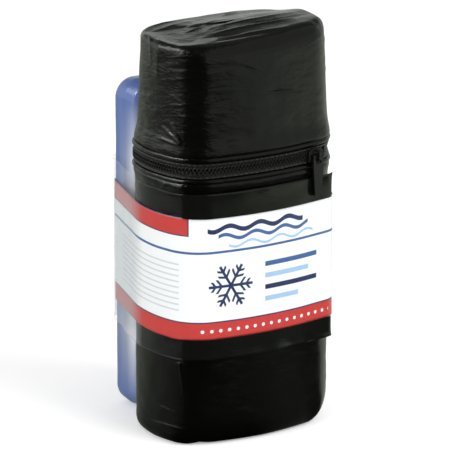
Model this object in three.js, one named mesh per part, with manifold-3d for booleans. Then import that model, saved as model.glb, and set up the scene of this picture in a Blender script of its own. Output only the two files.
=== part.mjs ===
// An insulin cooling case: a tall soft case with an oval plan, insulated with foam, whose lid is
// closed by a coil zip. Its flat ice pack stands behind it, held there by a printed band inside a
// sleeve of clear film.
// Lengths are in millimetres and +Z is up. The origin is the middle of the case's base. The front
// faces -Y, the hinge is at the +X end, and the ice pack stands on the +Y side.

import * as THREE from "three";
import { mergeVertices } from "three/addons/utils/BufferGeometryUtils.js";
import Module from "manifold-3d";

const wasm = await Module();
wasm.setup();

// The gap left between two pieces that touch
const seat = 0.3;

// Case, outside
const caseWidth = 84.6;
const caseDepth = 59.8;
const caseHeight = 182.5;
const splitHeight = 126;
const faceRadius = 130;
const endRadius = 55;
const cornerRadius = 18;
const baseEdgeRadius = 5;
const lidEdgeRadius = 4;
const lidTaper = 1.9;
const domeRise = 1.6;

// Layers of the wall, from the outside in
const coverThickness = 1.2;
const foamThickness = 5;
const liningThickness = 0.8;
const boardThickness = 1.5;
const innerEdgeRadius = 2;

// Piping and the binding of the two rims
const pipingRadius = 1.2;
const pipingRise = 4.8;
const rimThickness = 1;
const rimSetback = 0.4;

// Zip
const tapeThickness = 0.8;
const chainWidth = 4.2;
const chainSetback = 30;
const coilThickness = 1;
const coilPitch = 1.7;
const coilEngagement = 0.9;
const stopLength = 1.6;

// Hinge panel
const hingeWidth = 27;
const hingeThickness = 1;

// Slider and pull
const sliderLength = 9;
const sliderHeight = 6.4;
const sliderThickness = 0.9;
const sliderClearance = 0.4;
const sliderSetback = 2;
const flangeThickness = 0.7;
const bailWidth = 1.6;
const bailThickness = 0.8;
const bailSpan = 5.2;
const pullWidth = 6;
const pullLength = 19;
const pullThickness = 0.9;
const pullArm = 1.4;

// Divider between the ice pack's pocket and the medicine's
const dividerThickness = 1.2;
const dividerDrop = 16.3;
const dividerPlace = 1.3;

// Ice pack
const packWidth = 61.5;
const packHeight = 152;
const packThickness = 19.5;
const packCorner = 9.3;
const packEdge = 5;
const packWall = 1.6;
const plugRadius = 5.2;
const plugHeight = 2.6;
const plugDish = 1;
const plugRim = 1.2;
const plugChamfer = 0.4;

// Printed band and clear sleeve, measured down from the split
const filmThickness = 0.3;
const sleeveDrop = 10;
const sleeveHeight = 75.5;
const bandDrop = 11;
const bandHeight = 55.6;
const foldStand = 2.1;

// Shares and counts
const gelFillShare = 0.9;
const domeRingShare = 0.5;
const domeHeightShare = 0.35;
const sliderNoseShare = 0.55;
const pullTipShare = 0.72;
const bailTopShare = 0.7;
const endSteps = 4;
const cornerSteps = 5;
const faceSteps = 6;
const edgeSteps = 4;
const innerEdgeSteps = 2;
const pipingSides = 6;
const packSteps = 4;
const cavitySteps = 2;
const plugSides = 16;

const halfWidth = caseWidth / 2;
const halfDepth = caseDepth / 2;
const quarter = Math.PI / 2;

// How deep each face of the wall lies under the outside
const foamOuter = coverThickness + seat;
const foamInner = foamOuter + foamThickness;
const liningOuter = foamInner + seat;
const liningInner = liningOuter + liningThickness;
const boardRise = coverThickness + seat;
const foamRise = boardRise + boardThickness + seat;
const liningRise = foamRise + foamThickness + seat;

// Heights measured from the split, alike upwards and downwards
const layerSetback = rimSetback + rimThickness + seat;
const pipingInnerEdge = pipingRise - pipingRadius;
const coverSetback = pipingRise + pipingRadius + seat;

// Finishes: colour, roughness and metalness
const nylon = [0x141414, 0.55, 0];
const binding = [0x101010, 0.7, 0];
const coilNylon = [0x1b1b1b, 0.4, 0];
const foamFinish = [0x3c3f42, 0.95, 0];
const liningFinish = [0x9aa0a5, 0.6, 0];
const boardFinish = [0x8a7a60, 0.9, 0];
const darkMetal = [0x2a2a2c, 0.35, 0.8];
const packBlue = [0x3c56b4, 0.35, 0];
const gelFinish = [0xa9c6e6, 0.3, 0];
const printedFilm = [0xf1f3f4, 0.35, 0];
const clearFilm = [0xe6ecef, 0.12, 0];

// The plan: four pairs of arcs that meet smoothly

const endCentre = halfWidth - endRadius;
const faceCentre = halfDepth - faceRadius;

// The middle of a corner arc lies where it touches both the end arc and the face arc.
function cornerCentre() {
  const fromEnd = endRadius - cornerRadius;
  const fromFace = faceRadius - cornerRadius;
  const apart = Math.hypot(endCentre, faceCentre);
  const along = (fromEnd ** 2 - fromFace ** 2 + apart ** 2) / (2 * apart);
  const across = Math.sqrt(fromEnd ** 2 - along ** 2);
  const towards = [-endCentre / apart, faceCentre / apart];
  return [
    endCentre + along * towards[0] - across * towards[1],
    along * towards[1] + across * towards[0],
  ];
}

const [cornerX, cornerY] = cornerCentre();
const endAngle = Math.atan2(cornerY, cornerX - endCentre);
const faceAngle = Math.atan2(cornerX, cornerY - faceCentre);

// The arcs run anticlockwise from the middle of the hinge end.
function planArcs() {
  const arc = (x, y, radius, from, to, steps) => ({ x, y, radius, from, to, steps });
  const half = 2 * quarter;
  const full = 4 * quarter;
  return [
    arc(endCentre, 0, endRadius, 0, endAngle, endSteps / 2),
    arc(cornerX, cornerY, cornerRadius, endAngle, quarter - faceAngle, cornerSteps),
    arc(0, faceCentre, faceRadius, quarter - faceAngle, quarter + faceAngle, faceSteps),
    arc(-cornerX, cornerY, cornerRadius, quarter + faceAngle, half - endAngle, cornerSteps),
    arc(-endCentre, 0, endRadius, half - endAngle, half + endAngle, endSteps),
    arc(-cornerX, -cornerY, cornerRadius, half + endAngle, 3 * quarter - faceAngle, cornerSteps),
    arc(0, -faceCentre, faceRadius, 3 * quarter - faceAngle, 3 * quarter + faceAngle, faceSteps),
    arc(cornerX, -cornerY, cornerRadius, 3 * quarter + faceAngle, full - endAngle, cornerSteps),
    arc(endCentre, 0, endRadius, full - endAngle, full, endSteps / 2),
  ];
}

const arcs = planArcs();
const arcLength = (arc) => arc.radius * (arc.to - arc.from);
const planLength = arcs.reduce((sum, arc) => sum + arcLength(arc), 0);

// The last corner on the way round, at the front of the hinge end, where the film's fold stands off
const foldArc = arcs.at(-2);

function planStations() {
  const stations = [];
  let walked = 0;
  for (const arc of arcs) {
    for (let step = 0; step < arc.steps; step += 1) {
      const share = step / arc.steps;
      const angle = arc.from + share * (arc.to - arc.from);
      stations.push({ arc, angle, place: walked + share * arcLength(arc) });
    }
    walked += arcLength(arc);
  }
  return stations;
}

const stations = planStations();

// The station at a distance along the plan, counted from the middle of the hinge end
function stationAt(place) {
  let left = ((place % planLength) + planLength) % planLength;
  for (const arc of arcs) {
    if (left <= arcLength(arc)) return { arc, angle: arc.from + left / arc.radius, place };
    left -= arcLength(arc);
  }
  return stations[0];
}

function planPoint({ arc, angle }, offset) {
  const radius = arc.radius + offset;
  return [arc.x + radius * Math.cos(angle), arc.y + radius * Math.sin(angle)];
}

// Geometry helpers

function solid(points, faces) {
  const geometry = new THREE.BufferGeometry();
  geometry.setAttribute("position", new THREE.Float32BufferAttribute(points.flat(), 3));
  geometry.setIndex(faces.flat());
  geometry.computeVertexNormals();
  return geometry;
}

const quad = (a, b, c, d) => [a, b, c, a, c, d];

// A shell round the plan. The profile holds pairs of offset and height, and starts and ends with
// the heights of two points on the axis.
function cup(firstPole, profile, lastPole) {
  const count = stations.length;
  const points = profile.flatMap(([offset, height]) =>
    stations.map((station) => [...planPoint(station, offset), height]));
  const first = points.push([0, 0, firstPole]) - 1;
  const last = points.push([0, 0, lastPole]) - 1;
  const lastRing = (profile.length - 1) * count;
  const faces = [];
  for (let side = 0; side < count; side += 1) {
    const next = (side + 1) % count;
    faces.push([first, next, side], [lastRing + side, lastRing + next, last]);
    for (let ring = 0; ring < lastRing; ring += count) {
      faces.push(quad(ring + side, ring + next, ring + count + next, ring + count + side));
    }
  }
  return solid(points, faces);
}

// A ring round the whole plan with a closed section, given anticlockwise as offset and height
function hoop(section) {
  const count = stations.length;
  const points = section.flatMap(([offset, height]) =>
    stations.map((station) => [...planPoint(station, offset), height]));
  const faces = [];
  for (let edge = 0; edge < section.length; edge += 1) {
    const ring = edge * count;
    const above = ((edge + 1) % section.length) * count;
    for (let side = 0; side < count; side += 1) {
      const next = (side + 1) % count;
      faces.push(quad(ring + side, ring + next, above + next, above + side));
    }
  }
  return solid(points, faces);
}

// A strip along part of the plan, with the same kind of section and a flat cap at each end
function strip(section, from, to) {
  const between = [-planLength, 0, planLength]
    .flatMap((turn) => stations.map((station) => ({ ...station, place: station.place + turn })))
    .filter(({ place }) => place > from && place < to);
  const route = [stationAt(from), ...between, stationAt(to)];
  const width = section.length;
  const points = route.flatMap((station) =>
    section.map(([offset, height]) => [...planPoint(station, offset), height]));
  const faces = [];
  for (let row = 0; row < route.length - 1; row += 1) {
    for (let edge = 0; edge < width; edge += 1) {
      const here = row * width + edge;
      const beside = row * width + ((edge + 1) % width);
      faces.push(quad(here, here + width, beside + width, beside));
    }
  }
  const end = (route.length - 1) * width;
  for (let corner = 1; corner < width - 1; corner += 1) {
    faces.push([0, corner, corner + 1], [end, end + corner + 1, end + corner]);
  }
  return solid(points, faces);
}

// A rectangular section between two offsets and two distances from the split
function splitSection(inner, outer, side, near, far) {
  const heights = [splitHeight + side * near, splitHeight + side * far];
  const low = Math.min(...heights);
  const high = Math.max(...heights);
  return [[inner, low], [outer, low], [outer, high], [inner, high]];
}

function toManifold(geometry) {
  const bare = geometry.clone();
  bare.deleteAttribute("normal");
  bare.deleteAttribute("uv");
  const merged = mergeVertices(bare);
  const vertProperties = new Float32Array(merged.attributes.position.array);
  const triVerts = new Uint32Array(merged.index.array);
  return new wasm.Manifold(new wasm.Mesh({ numProp: 3, vertProperties, triVerts }));
}

function fromManifold(manifold) {
  const { vertProperties, triVerts } = manifold.getMesh();
  const geometry = new THREE.BufferGeometry();
  geometry.setAttribute("position", new THREE.BufferAttribute(new Float32Array(vertProperties), 3));
  geometry.setIndex(new THREE.BufferAttribute(new Uint32Array(triVerts), 1));
  geometry.computeVertexNormals();
  return geometry;
}

function join(first, ...others) {
  const joined = others.reduce((sum, other) => sum.add(toManifold(other)), toManifold(first));
  return fromManifold(joined);
}

function cut(first, ...others) {
  const left = others.reduce((sum, other) => sum.subtract(toManifold(other)), toManifold(first));
  return fromManifold(left);
}

function piece(name, geometry, [color, roughness, metalness]) {
  const material = new THREE.MeshStandardMaterial({ color, roughness, metalness });
  const mesh = new THREE.Mesh(geometry, material);
  mesh.name = name;
  return mesh;
}

function groupOf(...meshes) {
  const group = new THREE.Group();
  group.add(...meshes);
  return group;
}

// Stands a shape drawn in X and Z upright, with its thickness centred on Y = 0
function upright(shape, thickness, options = {}) {
  const geometry = new THREE.ExtrudeGeometry(shape, { depth: thickness, bevelEnabled: false, ...options });
  geometry.rotateX(quarter);
  geometry.translate(0, thickness / 2, 0);
  return geometry;
}

function roundedRectangle(width, height, radius) {
  const x = width / 2;
  const y = height / 2;
  const shape = new THREE.Shape();
  shape.absarc(x - radius, y - radius, radius, 0, quarter);
  shape.absarc(radius - x, y - radius, radius, quarter, 2 * quarter);
  shape.absarc(radius - x, radius - y, radius, 2 * quarter, 3 * quarter);
  shape.absarc(x - radius, radius - y, radius, 3 * quarter, 4 * quarter);
  return shape;
}

// Body: cover, foam, lining, base board, rim and piping

const steps = (count) => Array.from({ length: count + 1 }, (_, step) => step / count);

// The cover's edges are rounded more finely than those of the layers inside it.
const stepsAt = (depth) => (depth > coverThickness ? innerEdgeSteps : edgeSteps);

// One face of the tub from the floor out and up to its rim
function tubFace(depth, rise, top) {
  const radius = Math.max(baseEdgeRadius - depth, innerEdgeRadius);
  const edge = steps(stepsAt(depth)).map((share) => [
    radius * (Math.sin(share * quarter) - 1) - depth,
    rise + radius * (1 - Math.cos(share * quarter)),
  ]);
  return [...edge, [-depth, top]];
}

function tub(outerDepth, outerRise, innerDepth, innerRise, top) {
  const outside = tubFace(outerDepth, outerRise, top);
  const inside = tubFace(innerDepth, innerRise, top).reverse();
  return cup(outerRise, [...outside, ...inside], innerRise);
}

function makeBody() {
  const layerTop = splitHeight - layerSetback;
  const cover = tub(0, 0, coverThickness, coverThickness, splitHeight - coverSetback);
  const foam = tub(foamOuter, foamRise, foamInner, foamRise + foamThickness, layerTop);
  const lining = tub(liningOuter, liningRise, liningInner, liningRise + liningThickness, layerTop);
  const boardTop = boardRise + boardThickness;
  const board = cup(boardRise, [[-baseEdgeRadius, boardRise], [-baseEdgeRadius, boardTop]], boardTop);
  return groupOf(
    piece("body_cover", cover, nylon),
    piece("body_foam", foam, foamFinish),
    piece("body_lining", lining, liningFinish),
    piece("base_board", board, boardFinish),
    piece("body_rim_binding", rimBinding(-1), binding),
    piece("body_piping", piping(-1), nylon),
  );
}

function rimBinding(side) {
  return hoop(splitSection(-liningInner, -foamOuter, side, rimSetback, rimSetback + rimThickness));
}

function piping(side) {
  const section = steps(pipingSides).slice(1).map((share) => [
    pipingRadius * Math.cos(share * 4 * quarter),
    splitHeight + side * pipingRise + pipingRadius * Math.sin(share * 4 * quarter),
  ]);
  return hoop(section);
}

// Lid: cover, foam, lining, rim and piping

// One face of the lid from its crown out and down to its rim, with the height of its middle
function lidFace(depth, bottom) {
  const radius = Math.max(lidEdgeRadius - depth, innerEdgeRadius);
  const crown = caseHeight - domeRise - depth;
  const shoulder = depth + lidTaper;
  const edge = steps(stepsAt(depth)).map((share) => [
    radius * (Math.sin(share * quarter) - 1) - shoulder,
    crown - radius * (1 - Math.cos(share * quarter)),
  ]);
  const inset = shoulder + radius;
  const domeRing = [
    -inset - domeRingShare * (cornerRadius - inset),
    crown + domeHeightShare * domeRise,
  ];
  return { pole: crown + domeRise, profile: [domeRing, ...edge, [-depth, bottom]] };
}

function dome(outerDepth, innerDepth, bottom) {
  const inside = lidFace(innerDepth, bottom);
  const outside = lidFace(outerDepth, bottom);
  return cup(inside.pole, [...inside.profile, ...outside.profile.reverse()], outside.pole);
}

function makeLid() {
  const layerBottom = splitHeight + layerSetback;
  return groupOf(
    piece("lid_cover", dome(0, coverThickness, splitHeight + coverSetback), nylon),
    piece("lid_foam", dome(foamOuter, foamInner, layerBottom), foamFinish),
    piece("lid_lining", dome(liningOuter, liningInner, layerBottom), liningFinish),
    piece("lid_rim_binding", rimBinding(1), binding),
    piece("lid_piping", piping(1), nylon),
  );
}

// Zip: on each side of the split a tape, a row of coil turns and a stop at each end

const tapeFace = tapeThickness - coverThickness;
const coilInner = tapeFace + seat;
const coilOuter = coilInner + coilThickness;
const chainEnd = planLength - chainSetback;

function zipTape(side) {
  const section = splitSection(-coverThickness, tapeFace, side, seat, pipingInnerEdge - seat);
  const start = hingeWidth / 2 + seat;
  return strip(section, start, planLength - start);
}

// One row of the chain. Its turns reach past the split into the gaps of the other row.
function coilRow(side) {
  const width = coilPitch / 2 - seat;
  const count = Math.floor((chainEnd - chainSetback) / coilPitch) - 1;
  const lead = coilPitch * (side > 0 ? 1 : 1 / 2);
  const columns = [chainSetback];
  for (let turn = 0; turn < count; turn += 1) {
    const middle = chainSetback + lead + turn * coilPitch;
    columns.push(middle - width / 2, middle + width / 2);
  }
  columns.push(chainEnd);
  const root = coilEngagement / 2 + seat;
  const levels = [chainWidth / 2, root, -coilEngagement / 2].map((reach) => splitHeight + side * reach);
  return combSolid(columns, levels, side);
}

// A comb along the plan: a rail between the first two levels, and a tooth on every second span
// up to the third. Each column holds an inner and an outer point at each level.
function combSolid(columns, levels, side) {
  const points = columns.flatMap((place) => {
    const station = stationAt(place);
    return levels.flatMap((height) =>
      [coilInner, coilOuter].map((offset) => [...planPoint(station, offset), height]));
  });
  const perColumn = 2 * levels.length;
  const inner = (column, level) => column * perColumn + 2 * level;
  const outer = (column, level) => inner(column, level) + 1;
  const faces = [];
  const walls = (a, b, low, high) => faces.push(
    quad(outer(a, low), outer(b, low), outer(b, high), outer(a, high)),
    quad(inner(a, low), inner(a, high), inner(b, high), inner(b, low)));
  const ledge = (a, b, level) =>
    faces.push(quad(outer(a, level), outer(b, level), inner(b, level), inner(a, level)));
  const startCap = (a, low, high) =>
    faces.push(quad(inner(a, low), outer(a, low), outer(a, high), inner(a, high)));
  const endCap = (a, low, high) =>
    faces.push(quad(inner(a, low), inner(a, high), outer(a, high), outer(a, low)));
  for (let a = 0; a < columns.length - 1; a += 1) {
    const b = a + 1;
    walls(a, b, 0, 1);
    faces.push(quad(inner(a, 0), inner(b, 0), outer(b, 0), outer(a, 0)));
    if (a % 2 === 0) {
      ledge(a, b, 1);
      continue;
    }
    walls(a, b, 1, 2);
    ledge(a, b, 2);
    startCap(a, 1, 2);
    endCap(b, 1, 2);
  }
  startCap(0, 0, 1);
  endCap(columns.length - 1, 0, 1);
  const facing = side > 0 ? faces.map((face) => [...face].reverse()) : faces;
  return mergeVertices(solid(points, facing));
}

function zipStop(side, place) {
  return strip(splitSection(coilInner, coilOuter, side, seat, chainWidth / 2), place, place + stopLength);
}

function hingeLeaf(side) {
  const section = splitSection(-coverThickness, hingeThickness - coverThickness, side, seat,
    pipingInnerEdge - seat);
  return strip(section, -hingeWidth / 2, hingeWidth / 2);
}

function makeZipHalf(side, word) {
  const backStop = zipStop(side, chainSetback - seat - stopLength);
  const frontStop = zipStop(side, chainEnd + seat);
  return groupOf(
    piece(`${word}_zip_tape`, zipTape(side), binding),
    piece(`${word}_coil_row`, coilRow(side), coilNylon),
    piece(`${word}_back_stop`, backStop, darkMetal),
    piece(`${word}_front_stop`, frontStop, darkMetal),
    piece(`${word}_hinge_leaf`, hingeLeaf(side), nylon),
  );
}

// Slider and pull, made at the middle of the front and turned to where the slider is parked, short
// of the end of the front arc. They turn about the arc's middle, and so keep their distance from
// the chain.

const plateInner = coilOuter + sliderClearance;
const plateOuter = plateInner + sliderThickness;
const pullReach = Math.hypot(pullThickness / 2, pullThickness / 2) + seat;
const pivotOffset = plateOuter + pullReach;

// Moves a piece from Y = 0 to an offset in front of the case, in the front arc's own frame
const inFront = (geometry, offset) => geometry.translate(0, -faceRadius - offset, splitHeight);

function sliderPlate() {
  const x = sliderLength / 2;
  const z = sliderHeight / 2;
  const nose = z * sliderNoseShare;
  const shape = new THREE.Shape();
  shape.moveTo(-x, -nose);
  shape.quadraticCurveTo(-x, -z, 0, -z);
  shape.quadraticCurveTo(x, -z, x, 0);
  shape.quadraticCurveTo(x, z, 0, z);
  shape.quadraticCurveTo(-x, z, -x, nose);
  return upright(shape, sliderThickness, { curveSegments: edgeSteps });
}

function bail() {
  const foot = bailSpan / 2;
  const top = foot * bailTopShare;
  const rise = 2 * pullReach + bailThickness;
  const shape = new THREE.Shape();
  const sunk = -sliderThickness / 2;
  shape.moveTo(-foot, sunk);
  shape.lineTo(foot, sunk);
  shape.lineTo(foot, pullReach);
  shape.lineTo(top, rise);
  shape.lineTo(-top, rise);
  shape.lineTo(-foot, pullReach);
  const window = new THREE.Path();
  const side = foot - bailThickness;
  const ceiling = 2 * pullReach;
  const shoulder = top - bailThickness / 2;
  window.moveTo(-side, 0);
  window.lineTo(-shoulder, ceiling);
  window.lineTo(shoulder, ceiling);
  window.lineTo(side, 0);
  shape.holes.push(window);
  const arch = new THREE.ExtrudeGeometry(shape, { depth: bailWidth, bevelEnabled: false });
  arch.translate(0, 0, -bailWidth / 2);
  arch.rotateY(-quarter);
  arch.rotateZ(2 * quarter);
  return arch;
}

function makeSlider() {
  const plate = inFront(sliderPlate(), plateInner + sliderThickness / 2);
  const flangeDepth = plateInner - coilInner + sliderThickness / 2;
  const flange = new THREE.BoxGeometry(sliderLength / 2, flangeDepth, flangeThickness);
  flange.translate(0, 0, (flangeThickness - sliderHeight) / 2);
  inFront(flange, coilInner + flangeDepth / 2);
  return join(plate, flange, inFront(bail(), plateOuter));
}

function makePull() {
  const half = pullWidth / 2;
  const bar = pullThickness / 2;
  const windowEnd = bailSpan / 2 + pullThickness;
  const shoulder = windowEnd + pullArm;
  const shape = new THREE.Shape();
  shape.moveTo(-half, bar);
  shape.lineTo(-half, -shoulder);
  shape.lineTo(-half * pullTipShare, half - pullLength);
  shape.quadraticCurveTo(-half * pullTipShare, -pullLength, 0, -pullLength);
  shape.quadraticCurveTo(half * pullTipShare, -pullLength, half * pullTipShare, half - pullLength);
  shape.lineTo(half, -shoulder);
  shape.lineTo(half, bar);
  const window = new THREE.Path();
  const side = half - pullArm;
  window.moveTo(-side, -bar);
  window.lineTo(side, -bar);
  window.lineTo(side, -windowEnd);
  window.lineTo(-side, -windowEnd);
  shape.holes.push(window);
  return inFront(upright(shape, pullThickness, { curveSegments: edgeSteps }), pivotOffset);
}

function makeSliderGroup() {
  const group = groupOf(
    piece("zip_slider", makeSlider(), darkMetal),
    piece("zip_pull_tab", makePull(), darkMetal),
  );
  group.position.y = -faceCentre;
  group.rotation.z = faceAngle - sliderSetback / faceRadius;
  return group;
}

// Divider, a thin board across the inside

function makeDivider() {
  const far = dividerPlace + dividerThickness;
  const half = endCentre + Math.sqrt((endRadius - liningInner - seat) ** 2 - far ** 2);
  const floor = liningRise + liningThickness + seat;
  const top = splitHeight - dividerDrop;
  const round = innerEdgeRadius + seat;
  const shape = new THREE.Shape();
  shape.moveTo(-half, top);
  shape.lineTo(-half, floor + round);
  shape.lineTo(-half + round, floor);
  shape.lineTo(half - round, floor);
  shape.lineTo(half, floor + round);
  shape.lineTo(half, top);
  const board = upright(shape, dividerThickness);
  board.translate(0, dividerPlace + dividerThickness / 2, 0);
  return piece("divider_panel", board, liningFinish);
}

// Ice pack: a hollow shell with a filling hole, its gel and its plug

const packFront = halfDepth + pipingRadius + seat;
const packMiddle = packFront + packThickness / 2;

function roundedSlab(inset, height, segments) {
  const edge = packEdge - inset;
  const width = packWidth - 2 * inset;
  const shape = roundedRectangle(width - 2 * edge, height - 2 * edge, packCorner - packEdge);
  const slab = new THREE.ExtrudeGeometry(shape, {
    depth: packThickness - 2 * packEdge,
    bevelThickness: edge,
    bevelSize: edge,
    bevelSegments: segments,
    curveSegments: segments,
  });
  slab.rotateX(quarter);
  slab.translate(0, packMiddle + packThickness / 2 - packEdge, inset + height / 2);
  return slab;
}

function fillingHole() {
  const hole = new THREE.CylinderGeometry(plugRadius + seat, plugRadius + seat, 2 * plugHeight, plugSides);
  hole.rotateX(quarter);
  return hole.translate(0, packMiddle, packHeight);
}

function packPlug() {
  const dishRadius = plugRadius - plugRim;
  const outline = [
    [0, -plugHeight],
    [plugRadius, -plugHeight],
    [plugRadius, -plugChamfer],
    [plugRadius - plugChamfer, 0],
    [dishRadius, 0],
    [dishRadius - plugChamfer, -plugDish],
    [0, -plugDish],
  ].map(([radius, height]) => new THREE.Vector2(radius, height));
  const plug = mergeVertices(new THREE.LatheGeometry(outline, plugSides));
  plug.rotateX(quarter);
  return plug.translate(0, packMiddle, packHeight);
}

function makePack() {
  const inside = packWall + seat;
  const cavityHeight = packHeight - 2 * packWall;
  const outside = roundedSlab(0, packHeight, packSteps);
  const cavity = roundedSlab(packWall, cavityHeight, cavitySteps);
  const gel = roundedSlab(inside, gelFillShare * cavityHeight, cavitySteps);
  return groupOf(
    piece("ice_pack_shell", cut(outside, cavity, fillingHole()), packBlue),
    piece("ice_pack_gel", gel, gelFinish),
    piece("ice_pack_plug", packPlug(), packBlue),
  );
}

// Printed band and clear sleeve, drawn tight round the case and the ice pack

// The loop that a film takes round a cloud of points, anticlockwise
function tightRound(points) {
  const sorted = [...points].sort((p, q) => p[0] - q[0] || p[1] - q[1]);
  const turns = (a, b, c) => (b[0] - a[0]) * (c[1] - a[1]) - (b[1] - a[1]) * (c[0] - a[0]);
  const halfLoop = (cloud) => {
    const loop = [];
    for (const point of cloud) {
      while (loop.length > 1 && turns(loop.at(-2), loop.at(-1), point) <= 0) loop.pop();
      loop.push(point);
    }
    return loop.slice(0, -1);
  };
  return [...halfLoop(sorted), ...halfLoop(sorted.reverse())];
}

// How far the film's lay-flat fold stands off at a station
function foldAt({ arc, angle }) {
  if (arc !== foldArc) return 0;
  const share = (angle - arc.from) / (arc.to - arc.from);
  return foldStand * Math.sin(share * 2 * quarter) ** 2;
}

function filmLoop(offset) {
  const round = stations.map((station) => planPoint(station, offset + foldAt(station)));
  const across = packWidth / 2 - packEdge;
  const back = packFront + packThickness - packEdge;
  const behind = steps(2 * packSteps).flatMap((share) => {
    const reach = packEdge + offset;
    const x = across + reach * Math.cos(share * quarter);
    const y = back + reach * Math.sin(share * quarter);
    return [[x, y], [-x, y]];
  });
  return tightRound([...round, ...behind]).map(([x, y]) => new THREE.Vector2(x, y));
}

function filmRing(offset, bottom, top) {
  const ring = new THREE.Shape(filmLoop(offset + filmThickness));
  ring.holes.push(new THREE.Path(filmLoop(offset)));
  const film = new THREE.ExtrudeGeometry(ring, { depth: top - bottom, bevelEnabled: false });
  return film.translate(0, 0, bottom);
}

function makeWrap() {
  const sleeveTop = splitHeight - sleeveDrop;
  const bandTop = sleeveTop - bandDrop;
  const sleeveOffset = seat + filmThickness + seat;
  return groupOf(
    piece("printed_band", filmRing(seat, bandTop - bandHeight, bandTop), printedFilm),
    piece("clear_sleeve", filmRing(sleeveOffset, sleeveTop - sleeveHeight, sleeveTop), clearFilm),
  );
}

const coolingCase = new THREE.Group();
coolingCase.add(
  makeBody(),
  makeDivider(),
  makeZipHalf(-1, "lower"),
  makeLid(),
  makeZipHalf(1, "upper"),
  makeSliderGroup(),
  makePack(),
  makeWrap(),
);

export default coolingCase;
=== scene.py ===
# %% [markdown]
# # An insulin cooling case with its ice pack
# The object is a tall soft case with an oval plan. Black nylon covers a wall of foam, a coil zip
# closes the lid, and a printed band inside a clear film sleeve holds a flat ice pack against the
# back. The solid model gives the size and place of every part. This script gives each part the
# surface that a close look needs. Lengths are in metres, because Blender's are.

# %% Load the frame
import math

import bmesh
import bpy
import numpy as np
from mathutils import Matrix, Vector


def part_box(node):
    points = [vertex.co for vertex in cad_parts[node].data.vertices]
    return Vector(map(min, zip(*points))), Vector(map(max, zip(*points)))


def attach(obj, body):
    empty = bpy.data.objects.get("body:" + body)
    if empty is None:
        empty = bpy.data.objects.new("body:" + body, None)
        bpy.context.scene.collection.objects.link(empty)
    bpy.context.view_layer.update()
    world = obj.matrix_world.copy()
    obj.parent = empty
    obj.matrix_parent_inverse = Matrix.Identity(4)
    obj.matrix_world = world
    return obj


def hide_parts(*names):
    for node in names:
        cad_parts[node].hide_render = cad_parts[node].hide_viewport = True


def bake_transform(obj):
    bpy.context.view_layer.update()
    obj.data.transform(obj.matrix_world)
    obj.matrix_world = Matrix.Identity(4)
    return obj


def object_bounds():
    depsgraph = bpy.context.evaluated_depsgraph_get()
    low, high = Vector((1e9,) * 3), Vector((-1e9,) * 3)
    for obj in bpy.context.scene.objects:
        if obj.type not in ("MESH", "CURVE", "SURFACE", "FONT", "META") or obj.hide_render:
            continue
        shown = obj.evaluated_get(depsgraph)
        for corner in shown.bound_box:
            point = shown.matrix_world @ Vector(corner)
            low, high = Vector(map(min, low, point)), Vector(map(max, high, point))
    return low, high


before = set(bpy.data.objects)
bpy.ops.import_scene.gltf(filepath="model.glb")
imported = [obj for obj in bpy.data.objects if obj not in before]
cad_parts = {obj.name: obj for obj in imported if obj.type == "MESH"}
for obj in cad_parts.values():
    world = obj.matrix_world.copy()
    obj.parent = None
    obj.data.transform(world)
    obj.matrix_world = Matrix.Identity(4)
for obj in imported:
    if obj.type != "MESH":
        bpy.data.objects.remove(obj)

mm = 0.001
solid_box = [list(corner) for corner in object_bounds()]
solid_size = [round(high - low, 4) for low, high in zip(*solid_box)]
print("solid model:", len(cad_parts), "nodes,", solid_size)

# %% [markdown]
# ## The outline of the case
# The plan is an oval made of arcs that meet smoothly: a tight one at each corner, a flat one along
# each face and a middling one round each end. Everything sewn to the case follows this outline at
# some offset. Working in distance along it, and not in angle, keeps the weave, the stitches and
# the turns of the zip evenly spaced.

# %% The outline's arcs
HALF_WIDTH = 42.3 * mm
HALF_DEPTH = 29.9 * mm
FACE_RADIUS = 130 * mm
END_RADIUS = 55 * mm
CORNER_RADIUS = 18 * mm
SPLIT = 126 * mm
QUARTER = math.pi / 2


def outline_arcs():
    """Rows of centre x, centre y, radius, first angle and last angle, from the +X end anticlockwise.

    A corner arc's middle is as far from the end arc's middle as their radii differ, and likewise
    from the face arc's, so it lies where two circles cross.
    """
    end_x = HALF_WIDTH - END_RADIUS
    face_y = HALF_DEPTH - FACE_RADIUS
    apart = math.hypot(end_x, face_y)
    from_end = END_RADIUS - CORNER_RADIUS
    along = (from_end ** 2 - (FACE_RADIUS - CORNER_RADIUS) ** 2 + apart ** 2) / (2 * apart)
    across = math.sqrt(from_end ** 2 - along ** 2)
    corner_x = end_x - (along * end_x + across * face_y) / apart
    corner_y = (along * face_y - across * end_x) / apart
    end = math.atan2(corner_y, corner_x - end_x)
    face = math.atan2(corner_x, corner_y - face_y)
    half = 2 * QUARTER
    return np.array([
        (end_x, 0, END_RADIUS, 0, end),
        (corner_x, corner_y, CORNER_RADIUS, end, QUARTER - face),
        (0, face_y, FACE_RADIUS, QUARTER - face, QUARTER + face),
        (-corner_x, corner_y, CORNER_RADIUS, QUARTER + face, half - end),
        (-end_x, 0, END_RADIUS, half - end, half + end),
        (-corner_x, -corner_y, CORNER_RADIUS, half + end, 3 * QUARTER - face),
        (0, -face_y, FACE_RADIUS, 3 * QUARTER - face, 3 * QUARTER + face),
        (corner_x, -corner_y, CORNER_RADIUS, 3 * QUARTER + face, 2 * half - end),
        (end_x, 0, END_RADIUS, 2 * half - end, 2 * half),
    ])


ARCS = outline_arcs()
ARC_ENDS = np.cumsum(ARCS[:, 2] * (ARCS[:, 4] - ARCS[:, 3]))
OUTLINE = ARC_ENDS[-1]


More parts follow.
